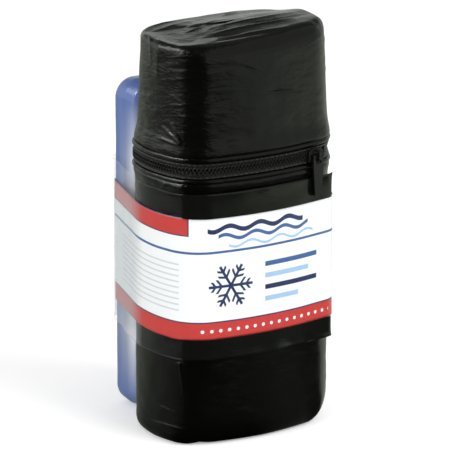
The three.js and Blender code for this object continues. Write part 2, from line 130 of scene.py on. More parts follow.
def outline(places):
    """Points and outward directions at distances along the outline, counted from the +X end.

    A point is its arc's centre plus the radius times the direction, and the direction turns by the
    distance over the radius.
    """
    places = np.mod(places, OUTLINE)
    which = np.minimum(np.searchsorted(ARC_ENDS, places, side="right"), len(ARCS) - 1)
    x, y, radius, first, last = ARCS[which].T
    angle = last - (ARC_ENDS[which] - places) / radius
    outwards = np.stack([np.cos(angle), np.sin(angle)], axis=-1)
    return np.stack([x, y], axis=-1) + radius[:, None] * outwards, outwards


print("outline:", round(OUTLINE / mm, 2), "mm round, corner centre", ARCS[1, :2] / mm)

# %% [markdown]
# ## Surfaces as grids
# Nearly every piece here is a grid of points: the rows follow a profile and the columns run round a
# loop, or along part of one. Numpy works out the whole grid at once, and a helper turns it into
# faces. Where the rows shrink to the axis, one point closes the pole, and where a strip is cut off,
# a flat face closes its end, so that no piece is left open.

# %% Grids of points
def rows_of(loop, offsets, heights, shares=1.0):
    """A grid of points. Row i is the loop moved out by offsets[i], drawn in to shares[i] of its size
    about the axis, at heights[i]."""
    points, outwards = loop
    offsets, heights, shares = np.broadcast_arrays(offsets, heights, shares)
    flat = (points[None] + offsets[:, None, None] * outwards[None]) * shares[:, None, None]
    lifted = np.broadcast_to(heights[:, None, None], flat.shape[:2] + (1,))
    return np.concatenate([flat, lifted], axis=-1)


def normals_of(grid):
    """Unit normals of a grid whose columns close: the step along a row crossed with the step from
    row to row."""
    along = np.roll(grid, -1, axis=1) - np.roll(grid, 1, axis=1)
    across = np.gradient(grid, axis=0)
    normal = np.cross(along, across)
    return normal / np.maximum(np.linalg.norm(normal, axis=-1, keepdims=True), 1e-12)


def unit(vectors):
    """Vectors of length 1 in the same directions."""
    return vectors / np.linalg.norm(vectors, axis=-1, keepdims=True)


def ring_angles(sides):
    """The angles of points at even steps round a circle."""
    return np.arange(sides) / sides * 4 * QUARTER


def run_lengths(*coordinates):
    """Distances along a run of points, from the first one: the sum of the steps so far."""
    steps = np.diff(np.stack(np.broadcast_arrays(*coordinates), axis=-1), axis=0)
    return np.concatenate([[0], np.cumsum(np.linalg.norm(steps, axis=-1))])


# %% Grids into pieces
def faces_of(rows, columns, ring, loop):
    """Each face of a grid, as the indexes of its four corners. ring joins the last row to the first,
    and loop joins the last column to the first."""
    row = np.arange(rows if ring else rows - 1)[:, None]
    column = np.arange(columns if loop else columns - 1)[None]
    above, following = (row + 1) % rows, (column + 1) % columns
    corners = [
        row * columns + column,
        row * columns + following,
        above * columns + following,
        above * columns + column,
    ]
    return np.stack(corners, axis=-1).reshape(-1, 4)


def face_uvs(us, vs):
    """A UV for each face corner, from distances along the columns and along the rows. A side that
    closes has one distance more than it has points, so that its last face doesn't run backwards."""
    u, v = np.meshgrid(us, vs)
    grid = np.stack([u, v], axis=-1)
    corners = [grid[:-1, :-1], grid[:-1, 1:], grid[1:, 1:], grid[1:, :-1]]
    return np.stack(corners, axis=2).reshape(-1, 2)


def make_piece(name, points, faces, material, uvs=None, smooth=True):
    """A mesh object at the origin, with its points, faces, finish and a UV for each face corner."""
    mesh = bpy.data.meshes.new(name)
    mesh.from_pydata(points.tolist(), [], faces)
    if uvs is not None:
        layer = mesh.uv_layers.new(name="surface")
        layer.data.foreach_set("uv", np.ascontiguousarray(uvs, dtype=np.float32).ravel())
    mesh.polygons.foreach_set("use_smooth", [smooth] * len(mesh.polygons))
    mesh.materials.append(material)
    mesh.update()
    piece = bpy.data.objects.new(name, mesh)
    bpy.context.scene.collection.objects.link(piece)
    print("made", name, len(mesh.vertices), "points", len(mesh.polygons), "faces")
    return piece


def pole_faces(rows, columns):
    """The triangles that close a grid's first and last rows. Their tips are the two points that come
    after the grid's own."""
    column = np.arange(columns)
    following = (column + 1) % columns
    tip = np.full(columns, rows * columns)
    last = tip - columns
    first_fan = np.stack([tip, following, column], axis=-1)
    last_fan = np.stack([last + column, last + following, tip + 1], axis=-1)
    return np.concatenate([first_fan, last_fan]).tolist()


def grid_piece(name, grid, material, us, vs, poles=None, ring=False, loop=True):
    """A closed piece from a grid of points and the distances along its columns and rows. A cup has
    two poles, a hoop is a ring and a loop, and a strip is a ring whose ends get flat faces."""
    rows, columns = grid.shape[:2]
    points = grid.reshape(-1, 3)
    faces = faces_of(rows, columns, ring, loop).tolist()
    uvs = face_uvs(us, vs)
    if poles is not None:
        faces += pole_faces(rows, columns)
        points = np.concatenate([points, np.array(poles)])
        uvs = np.concatenate([uvs, np.zeros((columns * 6, 2))])
    if not loop:
        last = (rows - 1) * columns
        faces += [list(range(0, last + 1, columns)), list(range(last + columns - 1, 0, -columns))]
        uvs = np.concatenate([uvs, np.zeros((rows * 2, 2))])
    return make_piece(name, points, faces, material, uvs)


def given(piece, body, slot, *nodes):
    """Attaches a piece to the body it rides on and hides the solids it stands for. The slot argument,
    which of the record's slots it belongs to, is not used."""
    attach(piece, body)
    if nodes:
        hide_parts(*nodes)
    return piece


# %% [markdown]
# ## Shader maths as expressions
# A procedural material is a sum of masks and noises. Wiring each step by hand hides the idea, so a
# small class wraps a socket and overloads Python's operators. The expression `1 - mask` then adds
# its own Math node. One method makes every other kind of node.

# %% A finish and its expressions
class Wire:
    """A number that a finish works out for each point of a surface."""

    def __init__(self, finish, socket):
        self.finish = finish
        self.socket = socket

    def maths(self, operation, *values):
        return self.finish.node("ShaderNodeMath", {"operation": operation}, dict(enumerate(values)))

    def __add__(self, other):
        return self.maths("ADD", self, other)

    def __sub__(self, other):
        return self.maths("SUBTRACT", self, other)

    def __rsub__(self, other):
        return self.maths("SUBTRACT", other, self)

    def __mul__(self, other):
        return self.maths("MULTIPLY", self, other)

    def __truediv__(self, other):
        return self.maths("DIVIDE", self, other)

    def __lt__(self, other):
        return self.maths("LESS_THAN", self, other)

    def __gt__(self, other):
        return self.maths("GREATER_THAN", self, other)

    __radd__ = __add__
    __rmul__ = __mul__

    def named(self, operation, *others):
        """Any one-word operation of the Math node, such as sine or absolute."""
        return self.maths(operation.upper(), self, *others)

    def inside(self, low, high):
        """1 where the number lies between two others, and 0 elsewhere."""
        return (self > low) * (self < high)

    def rise(self, low, high):
        """0 below one number, 1 above another and a straight slope between."""
        return ((self - low) / (high - low)).named("maximum", 0).named("minimum", 1)


class Finish:
    """A material being made: its shader's constants, and the nodes that feed the rest."""

    def __init__(self, name, color, roughness, constants=()):
        self.material = bpy.data.materials.new(name)
        self.material.use_nodes = True
        self.nodes = self.material.node_tree.nodes
        self.shader = self.nodes["Principled BSDF"]
        self.shader.inputs["Base Color"].default_value = (*color, 1)
        self.shader.inputs["Roughness"].default_value = roughness
        for socket, value in dict(constants).items():
            self.shader.inputs[socket].default_value = value

    def node(self, kind, settings=(), values=(), output=0):
        """Adds a node: its settings first, then its sockets' values or links. Returns one output."""
        made = self.nodes.new(kind)
        for setting, value in dict(settings).items():
            setattr(made, setting, value)
        for socket, value in dict(values).items():
            self.link(made.inputs[socket], value)
        return Wire(self, made.outputs[output])

    def link(self, socket, value):
        if isinstance(value, Wire):
            self.material.node_tree.links.new(value.socket, socket)
        else:
            socket.default_value = value

    def feed(self, socket, value):
        self.link(self.shader.inputs[socket], value)

    def place(self, kind="Object"):
        """Coordinates in millimetres, as a vector."""
        metres = self.node("ShaderNodeTexCoord", output=kind)
        return self.node("ShaderNodeVectorMath", {"operation": "SCALE"}, {0: metres, "Scale": 1 / mm})

    def split(self, vector):
        """A vector's three numbers."""
        parts = self.nodes.new("ShaderNodeSeparateXYZ")
        self.link(parts.inputs[0], vector)
        return [Wire(self, output) for output in parts.outputs]

    def stretched(self, vector, x, y, z):
        """A vector with each of its numbers scaled by itself."""
        return self.node("ShaderNodeVectorMath", {"operation": "MULTIPLY"}, {0: vector, 1: (x, y, z)})

    def noise(self, vector, size, detail=2.0, distortion=0.0):
        """Smooth noise from 0 to 1, whose blots are about size millimetres wide."""
        values = {"Vector": vector, "Scale": 1 / size, "Detail": detail, "Distortion": distortion}
        return self.node("ShaderNodeTexNoise", values=values)

    def creases(self, vector, size, detail=3.0, distortion=0.6):
        """Sharp folds: 1 along the lines where a noise crosses its middle, falling off on each side."""
        fold = self.noise(vector, size, detail, distortion)
        return (1 - ((fold - 0.5).named("absolute") * 9)).named("maximum", 0)

    def bump(self, height, distance, below=None):
        """A Bump node: height from 0 to 1 stands for distance in metres."""
        values = {"Height": height, "Distance": distance, "Strength": 1.0}
        if below is not None:
            values["Normal"] = below
        return self.node("ShaderNodeBump", values=values)

    def mix(self, share, first, second):
        """One colour where the share is 0 and another where it is 1."""
        made = self.nodes.new("ShaderNodeMix")
        made.data_type = "RGBA"
        sockets = [socket for socket in made.inputs if socket.type == "RGBA"]
        self.link(made.inputs[0], share)
        for socket, value in zip(sockets, (first, second)):
            self.link(socket, value if isinstance(value, Wire) else (*value, 1))
        return Wire(self, next(socket for socket in made.outputs if socket.type == "RGBA"))


# %% [markdown]
# ## The finishes
# The black cover is woven nylon that looks glossy, because shrink film lies tight over it. A clear
# coat could stand for the film. Here one gloss carries both instead, and the film's folds are bumps
# on top of the weave's, because they then bend the reflection more plainly. Tapes and bindings have
# a duller gloss. The printed film and the blue plastic do have a thin clear coat.

# %% Cloths and tapes
def weave(finish, uv, pitch):
    """A plain weave from 0 to 1: rounded threads along u and v, which take turns to lie on top."""
    u, v, _ = finish.split(uv)
    u, v = u / pitch, v / pitch
    turn = math.pi
    over = (u * turn).named("sine") * (v * turn).named("sine")
    across = (u * turn).named("cosine").named("absolute")
    along = (v * turn).named("cosine").named("absolute")
    top = over > 0
    return top * across + (1 - top) * along


def nylon_under_film():
    """Black woven nylon with creased clear film over it. The film's folds bend the reflection, and
    its roughness varies from patch to patch."""
    finish = Finish("nylon_under_film", (0.002, 0.002, 0.002), 0.22)
    place = finish.place()
    patches = finish.noise(place, 26, 3)
    finish.feed("Base Color", finish.mix(patches, (0.0006, 0.0007, 0.0005), (0.0032, 0.0034, 0.0025)))
    threads = weave(finish, finish.place("UV"), 0.55)
    x, _, z = finish.split(place)
    loose = (1 - x.rise(-24, -8) * 0.85) * (z.rise(45, 120) * 0.55 + 0.15)
    folds = finish.creases(finish.stretched(place, 1, 1, 3.2), 17, 3, 0.9)
    fine_folds = finish.creases(finish.stretched(place, 1, 1, 5), 6, 2, 0.5)
    hollows = finish.noise(finish.stretched(place, 1, 1, 2), 9, 2)
    cloth = finish.bump(threads, 0.000012)
    film = finish.bump(folds * loose, 0.0001, finish.bump(hollows * (loose * 0.5 + 0.5), 0.0007, cloth))
    finish.feed("Normal", finish.bump(fine_folds * loose, 0.00003, film))
    finish.feed("Roughness", finish.noise(place, 7, 3) * 0.22 + 0.1)
    return finish.material


def woven_tape(name, color, pitch):
    """A woven tape with a dull gloss, because the film lies over it."""
    finish = Finish(name, color, 0.4)
    threads = weave(finish, finish.place("UV"), pitch)
    fuzz = finish.noise(finish.place(), 1.2, 3)
    darker = tuple(0.55 * part for part in color)
    finish.feed("Base Color", finish.mix(threads * 0.7 + fuzz * 0.3, darker, color))
    finish.feed("Roughness", fuzz * 0.2 + 0.28)
    finish.feed("Normal", finish.bump(threads, 0.00002))
    return finish.material


def coated_lining():
    """Silver-grey lining cloth with a smooth coating that has gone slightly crinkled."""
    finish = Finish("coated_lining", (0.34, 0.36, 0.38), 0.42)
    place = finish.place()
    crinkle = finish.creases(place, 11, 4, 1.2)
    threads = weave(finish, finish.place("UV"), 0.7)
    finish.feed("Base Color", finish.mix(finish.noise(place, 14, 3), (0.28, 0.3, 0.32), (0.4, 0.42, 0.44)))
    finish.feed("Normal", finish.bump(crinkle, 0.00025, finish.bump(threads, 0.00004)))
    return finish.material


def cell_foam():
    """Closed-cell foam: dark, matt and finely pitted."""
    finish = Finish("cell_foam", (0.05, 0.052, 0.056), 0.9)
    place = finish.place()
    cells = finish.node("ShaderNodeTexVoronoi", values={"Vector": place, "Scale": 1.4}, output="Distance")
    finish.feed("Base Color", finish.mix(cells, (0.03, 0.032, 0.035), (0.075, 0.078, 0.083)))
    finish.feed("Normal", finish.bump(cells, 0.0002))
    return finish.material


def stiff_board():
    """Brown fibre board."""
    finish = Finish("stiff_board", (0.25, 0.2, 0.13), 0.85)
    fibres = finish.noise(finish.stretched(finish.place(), 1, 5, 1), 2.5, 5)
    finish.feed("Base Color", finish.mix(fibres, (0.17, 0.13, 0.08), (0.33, 0.26, 0.17)))
    finish.feed("Normal", finish.bump(fibres, 0.0001))
    return finish.material


# %% Plastics, metal and film
def coil_nylon():
    """Black moulded nylon with fine drawing lines."""
    finish = Finish("coil_nylon", (0.013, 0.013, 0.012), 0.32)
    lines = finish.noise(finish.stretched(finish.place(), 1, 1, 6), 0.8, 2)
    finish.feed("Roughness", lines * 0.2 + 0.22)
    return finish.material


def black_enamel():
    """Black enamel on cast zinc, thinner and paler where it rubs."""
    finish = Finish("black_enamel", (0.006, 0.006, 0.0065), 0.4)
    place = finish.place()
    rubs = finish.noise(place, 1.6, 4)
    worn = (rubs - 0.62).named("maximum", 0) * 4
    finish.feed("Base Color", finish.mix(worn, (0.005, 0.005, 0.0055), (0.03, 0.03, 0.031)))
    finish.feed("Roughness", rubs * 0.25 + 0.25)
    finish.feed("Normal", finish.bump(finish.noise(place, 0.5, 2), 0.00002))
    return finish.material


def blue_plastic():
    """Blow-moulded blue plastic: satin and slightly uneven. A painted pale reflection of the film that
    spans to the case lightens its colour near the case side and low down, palest right by the case,
    to offset the shade that falls there.
    """
    finish = Finish("blue_plastic", (0.06, 0.12, 0.45), 0.3, {"Coat Weight": 0.35})
    place = finish.place()
    _, y, z = finish.split(place)
    cloud = finish.noise(place, 22, 3)
    # Painted reflection: the film that spans from the pack to the case, as a pale tint near the case side
    painted_film_sheen = ((1 - y.rise(33, 46)) * (cloud * 0.5 + 0.75)).named("minimum", 1)
    top_end = z.rise(118, 146)
    low_end = z.rise(3, 34)
    # The painted film reflection also tints the pack's lower part
    share = (painted_film_sheen * (1 - top_end) + (1 - z.rise(36, 75)) * 0.3).named("minimum", 1) * low_end * 0.88
    deep = finish.mix(cloud, (0.07, 0.13, 0.36), (0.11, 0.17, 0.42))
    # Painted light: the tint is palest right next to the case, to offset the shade that falls there
    pale = finish.mix(1 - y.rise(33.5, 39), (0.4, 0.43, 0.48), (0.8, 0.82, 0.85))
    finish.feed("Base Color", finish.mix(share, deep, pale))
    skin = finish.noise(place, 1.1, 3)
    finish.feed("Normal", finish.bump(skin, 0.00004, finish.bump(cloud, 0.0008)))
    finish.feed("Roughness", skin * 0.15 + 0.24)
    return finish.material


def cooling_gel():
    """Pale blue gel, cloudy with frost."""
    finish = Finish("cooling_gel", (0.4, 0.58, 0.8), 0.3)
    frost = finish.noise(finish.place(), 6, 5)
    finish.feed("Base Color", finish.mix(frost, (0.3, 0.5, 0.75), (0.62, 0.74, 0.88)))
    finish.feed("Normal", finish.bump(frost, 0.0003))
    return finish.material


# %% [markdown]
# ## The view and the light
# A long lens two metres away sees the case from its left and a little above, as in the photograph.
# White surroundings and two soft lamps light it. What the glossy film reflects is set apart from
# that, with cards that only reflections see. An unlit card on the camera's side makes the dark band
# along the near corner, and grey ones stand to its right. The floor card is what upright walls
# reflect, and the dark ceiling is what rounded upper edges reflect. Two small bright cards at the
# left catch the creases.

# %% Camera, lamps, floor and world
AZIMUTH = math.radians(-33)
ELEVATION = math.radians(16.3)
PIXEL = 0.443 * mm
FRAME_PIXELS = 450
LENS_PIXELS = 4500
AXIS_X_PIXEL = 231.3
BASE_Y_PIXEL = 421.7
FLOOR_HALF = 3.0
FLOOR_HEIGHT = -0.2 * mm
FLOOR_CARD_HEIGHT = -0.3 * mm
CEILING_HALF = 1.4
CEILING_HEIGHT = 3.0
CARD_TINT = (0.95, 1, 0.93)

TOWARDS_CAMERA = np.array([
    math.sin(AZIMUTH) * math.cos(ELEVATION),
    -math.cos(AZIMUTH) * math.cos(ELEVATION),
    math.sin(ELEVATION),
])
RIGHT = np.array([math.cos(AZIMUTH), math.sin(AZIMUTH), 0])
UP = np.cross(TOWARDS_CAMERA, RIGHT)


def standing(x_axis, y_axis, z_axis, place):
    """The matrix of an object with these axes at a place."""
    columns = np.stack([x_axis, y_axis, z_axis, place], axis=-1)
    return Matrix(np.vstack([columns, (0, 0, 0, 1)]).tolist())


def add_camera():
    """A camera whose middle pixel looks at a point above the base's middle."""
    aside = (FRAME_PIXELS / 2 - AXIS_X_PIXEL) * PIXEL
    above = (BASE_Y_PIXEL - FRAME_PIXELS / 2) * PIXEL
    target = aside * RIGHT + np.array([0, 0, above / UP[2]])
    data = bpy.data.cameras.new("camera")
    data.sensor_width = 36
    data.lens = LENS_PIXELS / FRAME_PIXELS * data.sensor_width
    data.clip_end = 50
    camera = bpy.data.objects.new("camera", data)
    bpy.context.scene.collection.objects.link(camera)
    place = target + TOWARDS_CAMERA * LENS_PIXELS * PIXEL
    camera.matrix_world = standing(RIGHT, UP, TOWARDS_CAMERA, place)
    bpy.context.scene.camera = camera


def add_lamp(name, place, size, power):
    """A large soft lamp that faces the middle of the case. Reflections show cards in its place."""
    data = bpy.data.lights.new(name, "AREA")
    data.size = size
    data.energy = power
    lamp = bpy.data.objects.new(name, data)
    lamp.visible_glossy = False
    bpy.context.scene.collection.objects.link(lamp)
    position = np.array(place)
    back = unit(position - np.array([0, 0, SPLIT]))
    side = unit(np.cross((0, 0, 1), back))
    over = np.cross(back, side)
    lamp.matrix_world = standing(side, over, back, position)


def add_world(diffuse_level):
    """White for the camera and for reflections, and a plain level for the light on the object."""
    world = bpy.data.worlds.new("surroundings")
    world.use_nodes = True
    tree = world.node_tree
    background = tree.nodes["Background"]
    background.inputs["Color"].default_value = (1, 1, 1, 1)
    path = tree.nodes.new("ShaderNodeLightPath")
    seen = path.outputs["Is Camera Ray"]
    for ray in ("Is Glossy Ray", "Is Transmission Ray"):
        either = tree.nodes.new("ShaderNodeMath")
        either.operation = "MAXIMUM"
        tree.links.new(seen, either.inputs[0])
        tree.links.new(path.outputs[ray], either.inputs[1])
        seen = either.outputs[0]
    level = tree.nodes.new("ShaderNodeMapRange")
    level.inputs["To Min"].default_value = diffuse_level
    tree.links.new(seen, level.inputs["Value"])
    tree.links.new(level.outputs["Result"], background.inputs["Strength"])
    bpy.context.scene.world = world


def level_square(name, half_size, height, finish):
    """A level square about the Z axis."""
    corners = np.array([(-1, -1), (1, -1), (1, 1), (-1, 1)]) * half_size
    points = np.insert(corners, 2, height, axis=1)
    return make_piece(name, points, [[0, 1, 2, 3]], finish.material, smooth=False)


def add_floor():
    """A white floor. The camera sees a little light added, so that only the shadow shows on it."""
    finish = Finish("white_floor", (0.86, 0.86, 0.86), 0.9, {"Specular IOR Level": 0.0})
    grain = finish.noise(finish.place(), 40, 2)
    finish.feed("Base Color", finish.mix(grain, (0.86, 0.86, 0.86), (0.88, 0.88, 0.88)))
    camera_ray = finish.node("ShaderNodeLightPath", output="Is Camera Ray")
    finish.feed("Emission Color", (1, 1, 1, 1))
    finish.feed("Emission Strength", camera_ray * 0.3)
    floor = level_square("floor", FLOOR_HALF, FLOOR_HEIGHT, finish)
    floor.visible_glossy = False


def glowing(name):
    """A black finish without gloss that gives off light of strength 1, in a colour to be fed."""
    return Finish(name, (0, 0, 0), 1, {"Specular IOR Level": 0.0, "Emission Strength": 1.0})


def only_reflected(card):
    """Hides a card from every ray but a reflected one."""
    for ray in ("camera", "diffuse", "transmission", "volume_scatter", "shadow"):
        setattr(card, "visible_" + ray, False)


def add_card(name, first, last, low_level, high_level, distance=1.2, foot=0.0, top=3.0):
    """A standing curved card, from one direction round to another in degrees. It changes from its
    low level to its high one between 0.55 and 0.7 metres up."""
    angles = np.radians(np.linspace(first, last, 25))
    curve = distance * np.stack([np.cos(angles), np.sin(angles)], axis=-1)
    points = np.concatenate([np.insert(curve, 2, height, axis=1) for height in (foot, top)])
    finish = glowing(name)
    _, _, z = finish.split(finish.place())
    low, high = ([part * level for part in CARD_TINT] for level in (low_level, high_level))
    finish.feed("Emission Color", finish.mix(z.rise(550, 700), low, high))
    faces = faces_of(2, len(curve), False, False).tolist()
    only_reflected(make_piece(name, points, faces, finish.material))


def add_floor_card():
    """What upright walls reflect: the floor round the case, by direction in degrees and distance in
    millimetres. It is unlit before the near corner, grows brighter towards the right and is darker
    close by than further off, with a lighter stretch at the right. It is darker again far off, just
    past the near corner."""
    finish = glowing("floor_card")
    x, y, _ = finish.split(finish.place())
    angle = y.maths("ARCTAN2", y, x) * (180 / math.pi)
    away = (x * x + y * y).named("sqrt")
    near = 1 - away.rise(250, 420)
    far_corner = away.rise(470, 530) * (1 - angle.rise(-82, -73)) * 0.6
    front = angle.rise(-104, -92) * (1 - angle.rise(20, 60)) * (angle.rise(-95, -40) * 0.6 + 0.06)
    left = (1 - angle.rise(-180, -160)) * 0.12 + angle.rise(30, 50) * (0.36 - angle.rise(95, 165) * 0.24)
    dip = near * angle.rise(-48, -40)
    line = near * angle.rise(-24, -14) * (1 - angle.rise(30, 50))
    level = front * (1 - near * 0.82) * (1 - dip * 0.75) * (1 - far_corner) + left + line * 0.6
    finish.feed("Emission Color", finish.mix(level, (0, 0, 0), (0.92, 1, 0.84)))
    only_reflected(level_square("floor_card", FLOOR_HALF, FLOOR_CARD_HEIGHT, finish))


def add_ceiling_card(level):
    """A dark ceiling, which rounded upper edges reflect."""
    finish = glowing("ceiling_card")
    finish.feed("Emission Color", (level, level, level, 1))
    only_reflected(level_square("ceiling_card", CEILING_HALF, CEILING_HEIGHT, finish))


# Each card's first and last direction in degrees and its levels below and above. Two of them give
# their distance, foot and top too, in metres.
CARDS = {
    "dark_card": (-170, -97, 0.0, 0.0),
    "front_card": (-96, 10, 0.4, 0.3),
    "far_card": (11, 125, 0.7, 0.12),
    "glint_card": (122, 160, 3.5, 3.5, 1.1, 0.6, 1.25),
    "spark_card": (160, 181, 18, 18, 1.0, 0.85, 1.3),
}

add_camera()
add_world(diffuse_level=0.62)
add_lamp("key_lamp", place=(0.5, -1.1, 1.1), size=1.0, power=16)
add_lamp("fill_lamp", place=(-1.2, -0.2, 0.6), size=0.9, power=7)
add_floor()
add_floor_card()
add_ceiling_card(level=0.03)
for name, card in CARDS.items():
    add_card(name, *card)
bpy.context.scene.view_settings.view_transform = "Standard"

# %% [markdown]
# ## The relief of shrunken film and cloth
# Film that has shrunk over soft nylon leaves sharp creases where it bridges a hollow, and broad
# dents where the foam gives. Both are heights added along a surface's normals. A crease is a line
# with a sharp crest, and a dent is a sum of slow waves. The creases that the camera sees are placed
# in the photograph's pixels, and the others are drawn at random from a seed.

# %% Creases and dents
def ridges(x, y, creases):
    """The height of creases, each a line from one point to another with a width and a height. A
    crease falls off exponentially on both sides of its crest, and dies away towards its ends."""
    x0, y0, x1, y1, width, height = np.asarray(creases, dtype=float).T
    run_x, run_y = x1 - x0, y1 - y0
    along = ((x[..., None] - x0) * run_x + (y[..., None] - y0) * run_y) / (run_x ** 2 + run_y ** 2)
    along = np.clip(along, 0, 1)
    away = np.hypot(x[..., None] - x0 - along * run_x, y[..., None] - y0 - along * run_y)
    fade = np.sqrt(np.sin(np.pi * (0.04 + 0.92 * along)))
    return (height * fade * np.exp(-(away / width) ** 1.25)).sum(axis=-1)


def dents(points, size, seed, waves=20):
    """Slow waves from about -1 to 1: sines that run in random directions, about size apart."""
    draw = np.random.default_rng(seed)
    directions = draw.normal(size=(waves, 3))
    directions = unit(directions) * draw.uniform(0.6, 1.5, (waves, 1)) * 2 * np.pi / size
    phases = draw.uniform(0, 2 * np.pi, waves)
    return np.sin(points @ directions.T + phases).sum(axis=-1) / np.sqrt(2 * waves)


def random_creases(seed, count, span, low, high, length, height):
    """Creases at random on the unrolled surface, between two heights, mostly running round it."""
    draw = np.random.default_rng(seed)
    middle_x = draw.uniform(0, span, count)
    middle_y = draw.uniform(low, high, count)
    turn = draw.normal(0, 0.35, count)
    half = draw.uniform(0.3, 1, count) * length / 2
    reach_x, reach_y = half * np.cos(turn), half * np.sin(turn)
    widths = draw.uniform(0.6, 1.6, count) * mm
    heights = draw.uniform(0.3, 1, count) * height * draw.choice((-1, 1), count)
    ends = (middle_x - reach_x, middle_y - reach_y, middle_x + reach_x, middle_y + reach_y)
    return np.stack([*ends, widths, heights], axis=-1)


def photo_pixels(points):
    """Where the camera sees each point, in the photograph's pixels."""
    return AXIS_X_PIXEL + points @ RIGHT / PIXEL, BASE_Y_PIXEL - points @ UP / PIXEL


def facing_camera(normals):
    """1 where a surface faces the camera, 0 where it faces away, and a short slope between."""
    return np.clip(normals @ TOWARDS_CAMERA * 4, 0, 1)


# Each crease that the camera sees: from one pixel to another, then its width in pixels and its
# height. A negative height is a groove.
BODY_CREASES = {
    "left end under the welt": (143, 186, 166, 201, 0.8, 0.5 * mm),
    "bright corner under the welt": (175, 188, 186, 189, 1.8, 0.8 * mm),
    "hook under the welt": (163, 190, 168, 184, 1.2, 0.6 * mm),
    "dip by the corner": (206, 157, 215, 157, 1.6, -0.5 * mm),
    "foot on the left": (148, 420, 186, 429, 1.2, 0.4 * mm),
    "foot at the corner": (196, 437, 222, 432, 1.0, 0.4 * mm),
    "slant above the foot": (150, 402, 176, 412, 0.9, 0.25 * mm),
    "upright below the band": (178, 346, 184, 392, 1.1, 0.4 * mm),
}

LID_CREASES = {
    "upper fan by the zip": (164, 129, 181, 146, 1.0, 0.65 * mm),
    "lower fan by the zip": (159, 139, 180, 147, 1.0, 0.6 * mm),
    "steep fan by the zip": (172, 126, 182, 145, 0.9, 0.55 * mm),
    "fold over the lower edge": (161, 162, 181, 158, 1.0, 0.5 * mm),
    "upright at the far left": (150, 30, 152, 66, 1.6, 0.3 * mm),
    "broad swell on the left": (161, 40, 158, 82, 5.0, 0.7 * mm),
    "first ripple": (166, 62, 212, 60, 1.0, 0.17 * mm),
    "second ripple": (170, 72, 206, 75, 0.9, -0.15 * mm),
    "third ripple": (164, 84, 210, 82, 1.0, 0.17 * mm),
    "fourth ripple": (168, 97, 214, 99, 0.9, -0.15 * mm),
    "fifth ripple": (160, 110, 204, 107, 1.0, 0.17 * mm),
    "sixth ripple": (172, 119, 216, 121, 0.9, 0.25 * mm),
    "first long fold of the top": (209, 31, 300, 12, 1.1, 0.5 * mm),
    "second long fold of the top": (214, 37, 292, 20, 1.1, 0.55 * mm),
    "groove behind the long folds": (190, 29, 262, 13, 1.0, -0.5 * mm),
    "third long fold of the top": (218, 43, 285, 30, 1.0, 0.5 * mm),
    "groove before the front edge": (212, 47, 280, 33, 1.0, -0.45 * mm),
    "fold along the front edge": (226, 51, 286, 37, 1.2, 0.5 * mm),
    "first fold of the back left": (154, 32, 192, 22, 1.0, 0.5 * mm),
    "groove of the back left": (166, 35, 204, 20, 1.0, -0.5 * mm),
    "second fold of the back left": (178, 37, 222, 19, 1.2, 0.6 * mm),
    "short fold of the back left": (148, 27, 176, 22, 0.9, 0.4 * mm),
    "curl at the back": (222, 17, 238, 13, 1.4, 0.8 * mm),
    "groove in the curl": (225, 15, 235, 12.6, 0.7, -0.9 * mm),
    "groove at the far right": (250, 27, 310, 15, 1.0, -0.4 * mm),
    "groove at the corner": (205, 41, 246, 38, 1.6, -0.45 * mm),
    "fold on the shoulder": (206, 53, 244, 51, 1.4, 0.35 * mm),
    "slant below the shoulder": (236, 66, 262, 74, 1.4, 0.25 * mm),
    "groove on the right": (262, 96, 300, 92, 1.6, -0.3 * mm),
}

# Height and spacing of the broad and the small dents, and the creases drawn at random
BROAD_DENTS = (0.16 * mm, 34 * mm)
SMALL_DENTS = (0.07 * mm, 13 * mm)
RANDOM_COUNT = 70
RANDOM_LENGTH = 34 * mm
RANDOM_HEIGHT = 0.3 * mm


def cover_relief(grid, seen_creases, seed, low, high):
    """How far each point of a cover's outside stands out: slow dents, creases at random all round,
    lower on the side that the camera sees, and there the creases of the photograph."""
    normals = normals_of(grid)
    seen = facing_camera(normals)
    places = np.broadcast_to(loop_places[:-1], grid.shape[:2])
    scattered = random_creases(seed, RANDOM_COUNT, OUTLINE, low, high, RANDOM_LENGTH, RANDOM_HEIGHT)
    (broad, broad_size), (small, small_size) = BROAD_DENTS, SMALL_DENTS
    relief = broad * dents(grid, broad_size, seed + 1) + small * dents(grid, small_size, seed + 2)
    relief = relief + ridges(places, grid[..., 2], scattered) * (1 - 0.75 * seen)
    relief = relief + ridges(*photo_pixels(grid), list(seen_creases.values())) * seen
    return relief, normals


# %% [markdown]
# ## The body's cover
# The body is a cup of padded nylon with a rounded bottom edge. One profile makes it: out over the
# floor, up the wall, over the rim and down the inside. The rows are close together where creases
# show, and far apart under the printed band. Next to the welt the cloth is gathered by its seam,
# so it climbs on to the welt and puckers there.

# %% Body cover
COLUMNS = 408
COVER = 1.2 * mm
MEAN_RADIUS = 30 * mm
BODY_TOP = 119.7 * mm

# Where the rows of the body's wall lie: fine ones up to a height, wide ones under the band and fine
# ones again
LOWER_ROWS_TOP = 49 * mm
HIDDEN_ROWS = (51 * mm, 102 * mm, 3 * mm)
UPPER_ROWS_FOOT = 103 * mm
FINE_ROW = 0.42 * mm
INNER_ROWS = 6

PUCKERS = 27
PUCKER_HEIGHT = 0.12 * mm


def uneven_places(columns, coarse_share):
    """Distances along the outline, closer together where the camera sees the case. The density is
    1 there and coarse_share elsewhere, and its running sum is cut into even steps."""
    places = np.linspace(0, OUTLINE, 4001)
    seen = np.clip(outline(places)[1] @ TOWARDS_CAMERA[:2] * 4 + 1.5, 0, 1)
    density = coarse_share + (1 - coarse_share) * seen
    total = np.concatenate([[0], np.cumsum((density[1:] + density[:-1]) / 2)])
    return np.interp(np.arange(columns + 1) / columns * total[-1], total, places)


loop_places = uneven_places(COLUMNS, 0.22)
loop = outline(loop_places[:-1])
outward_degrees = np.degrees(np.arctan2(loop[1][:, 1], loop[1][:, 0])) % 360


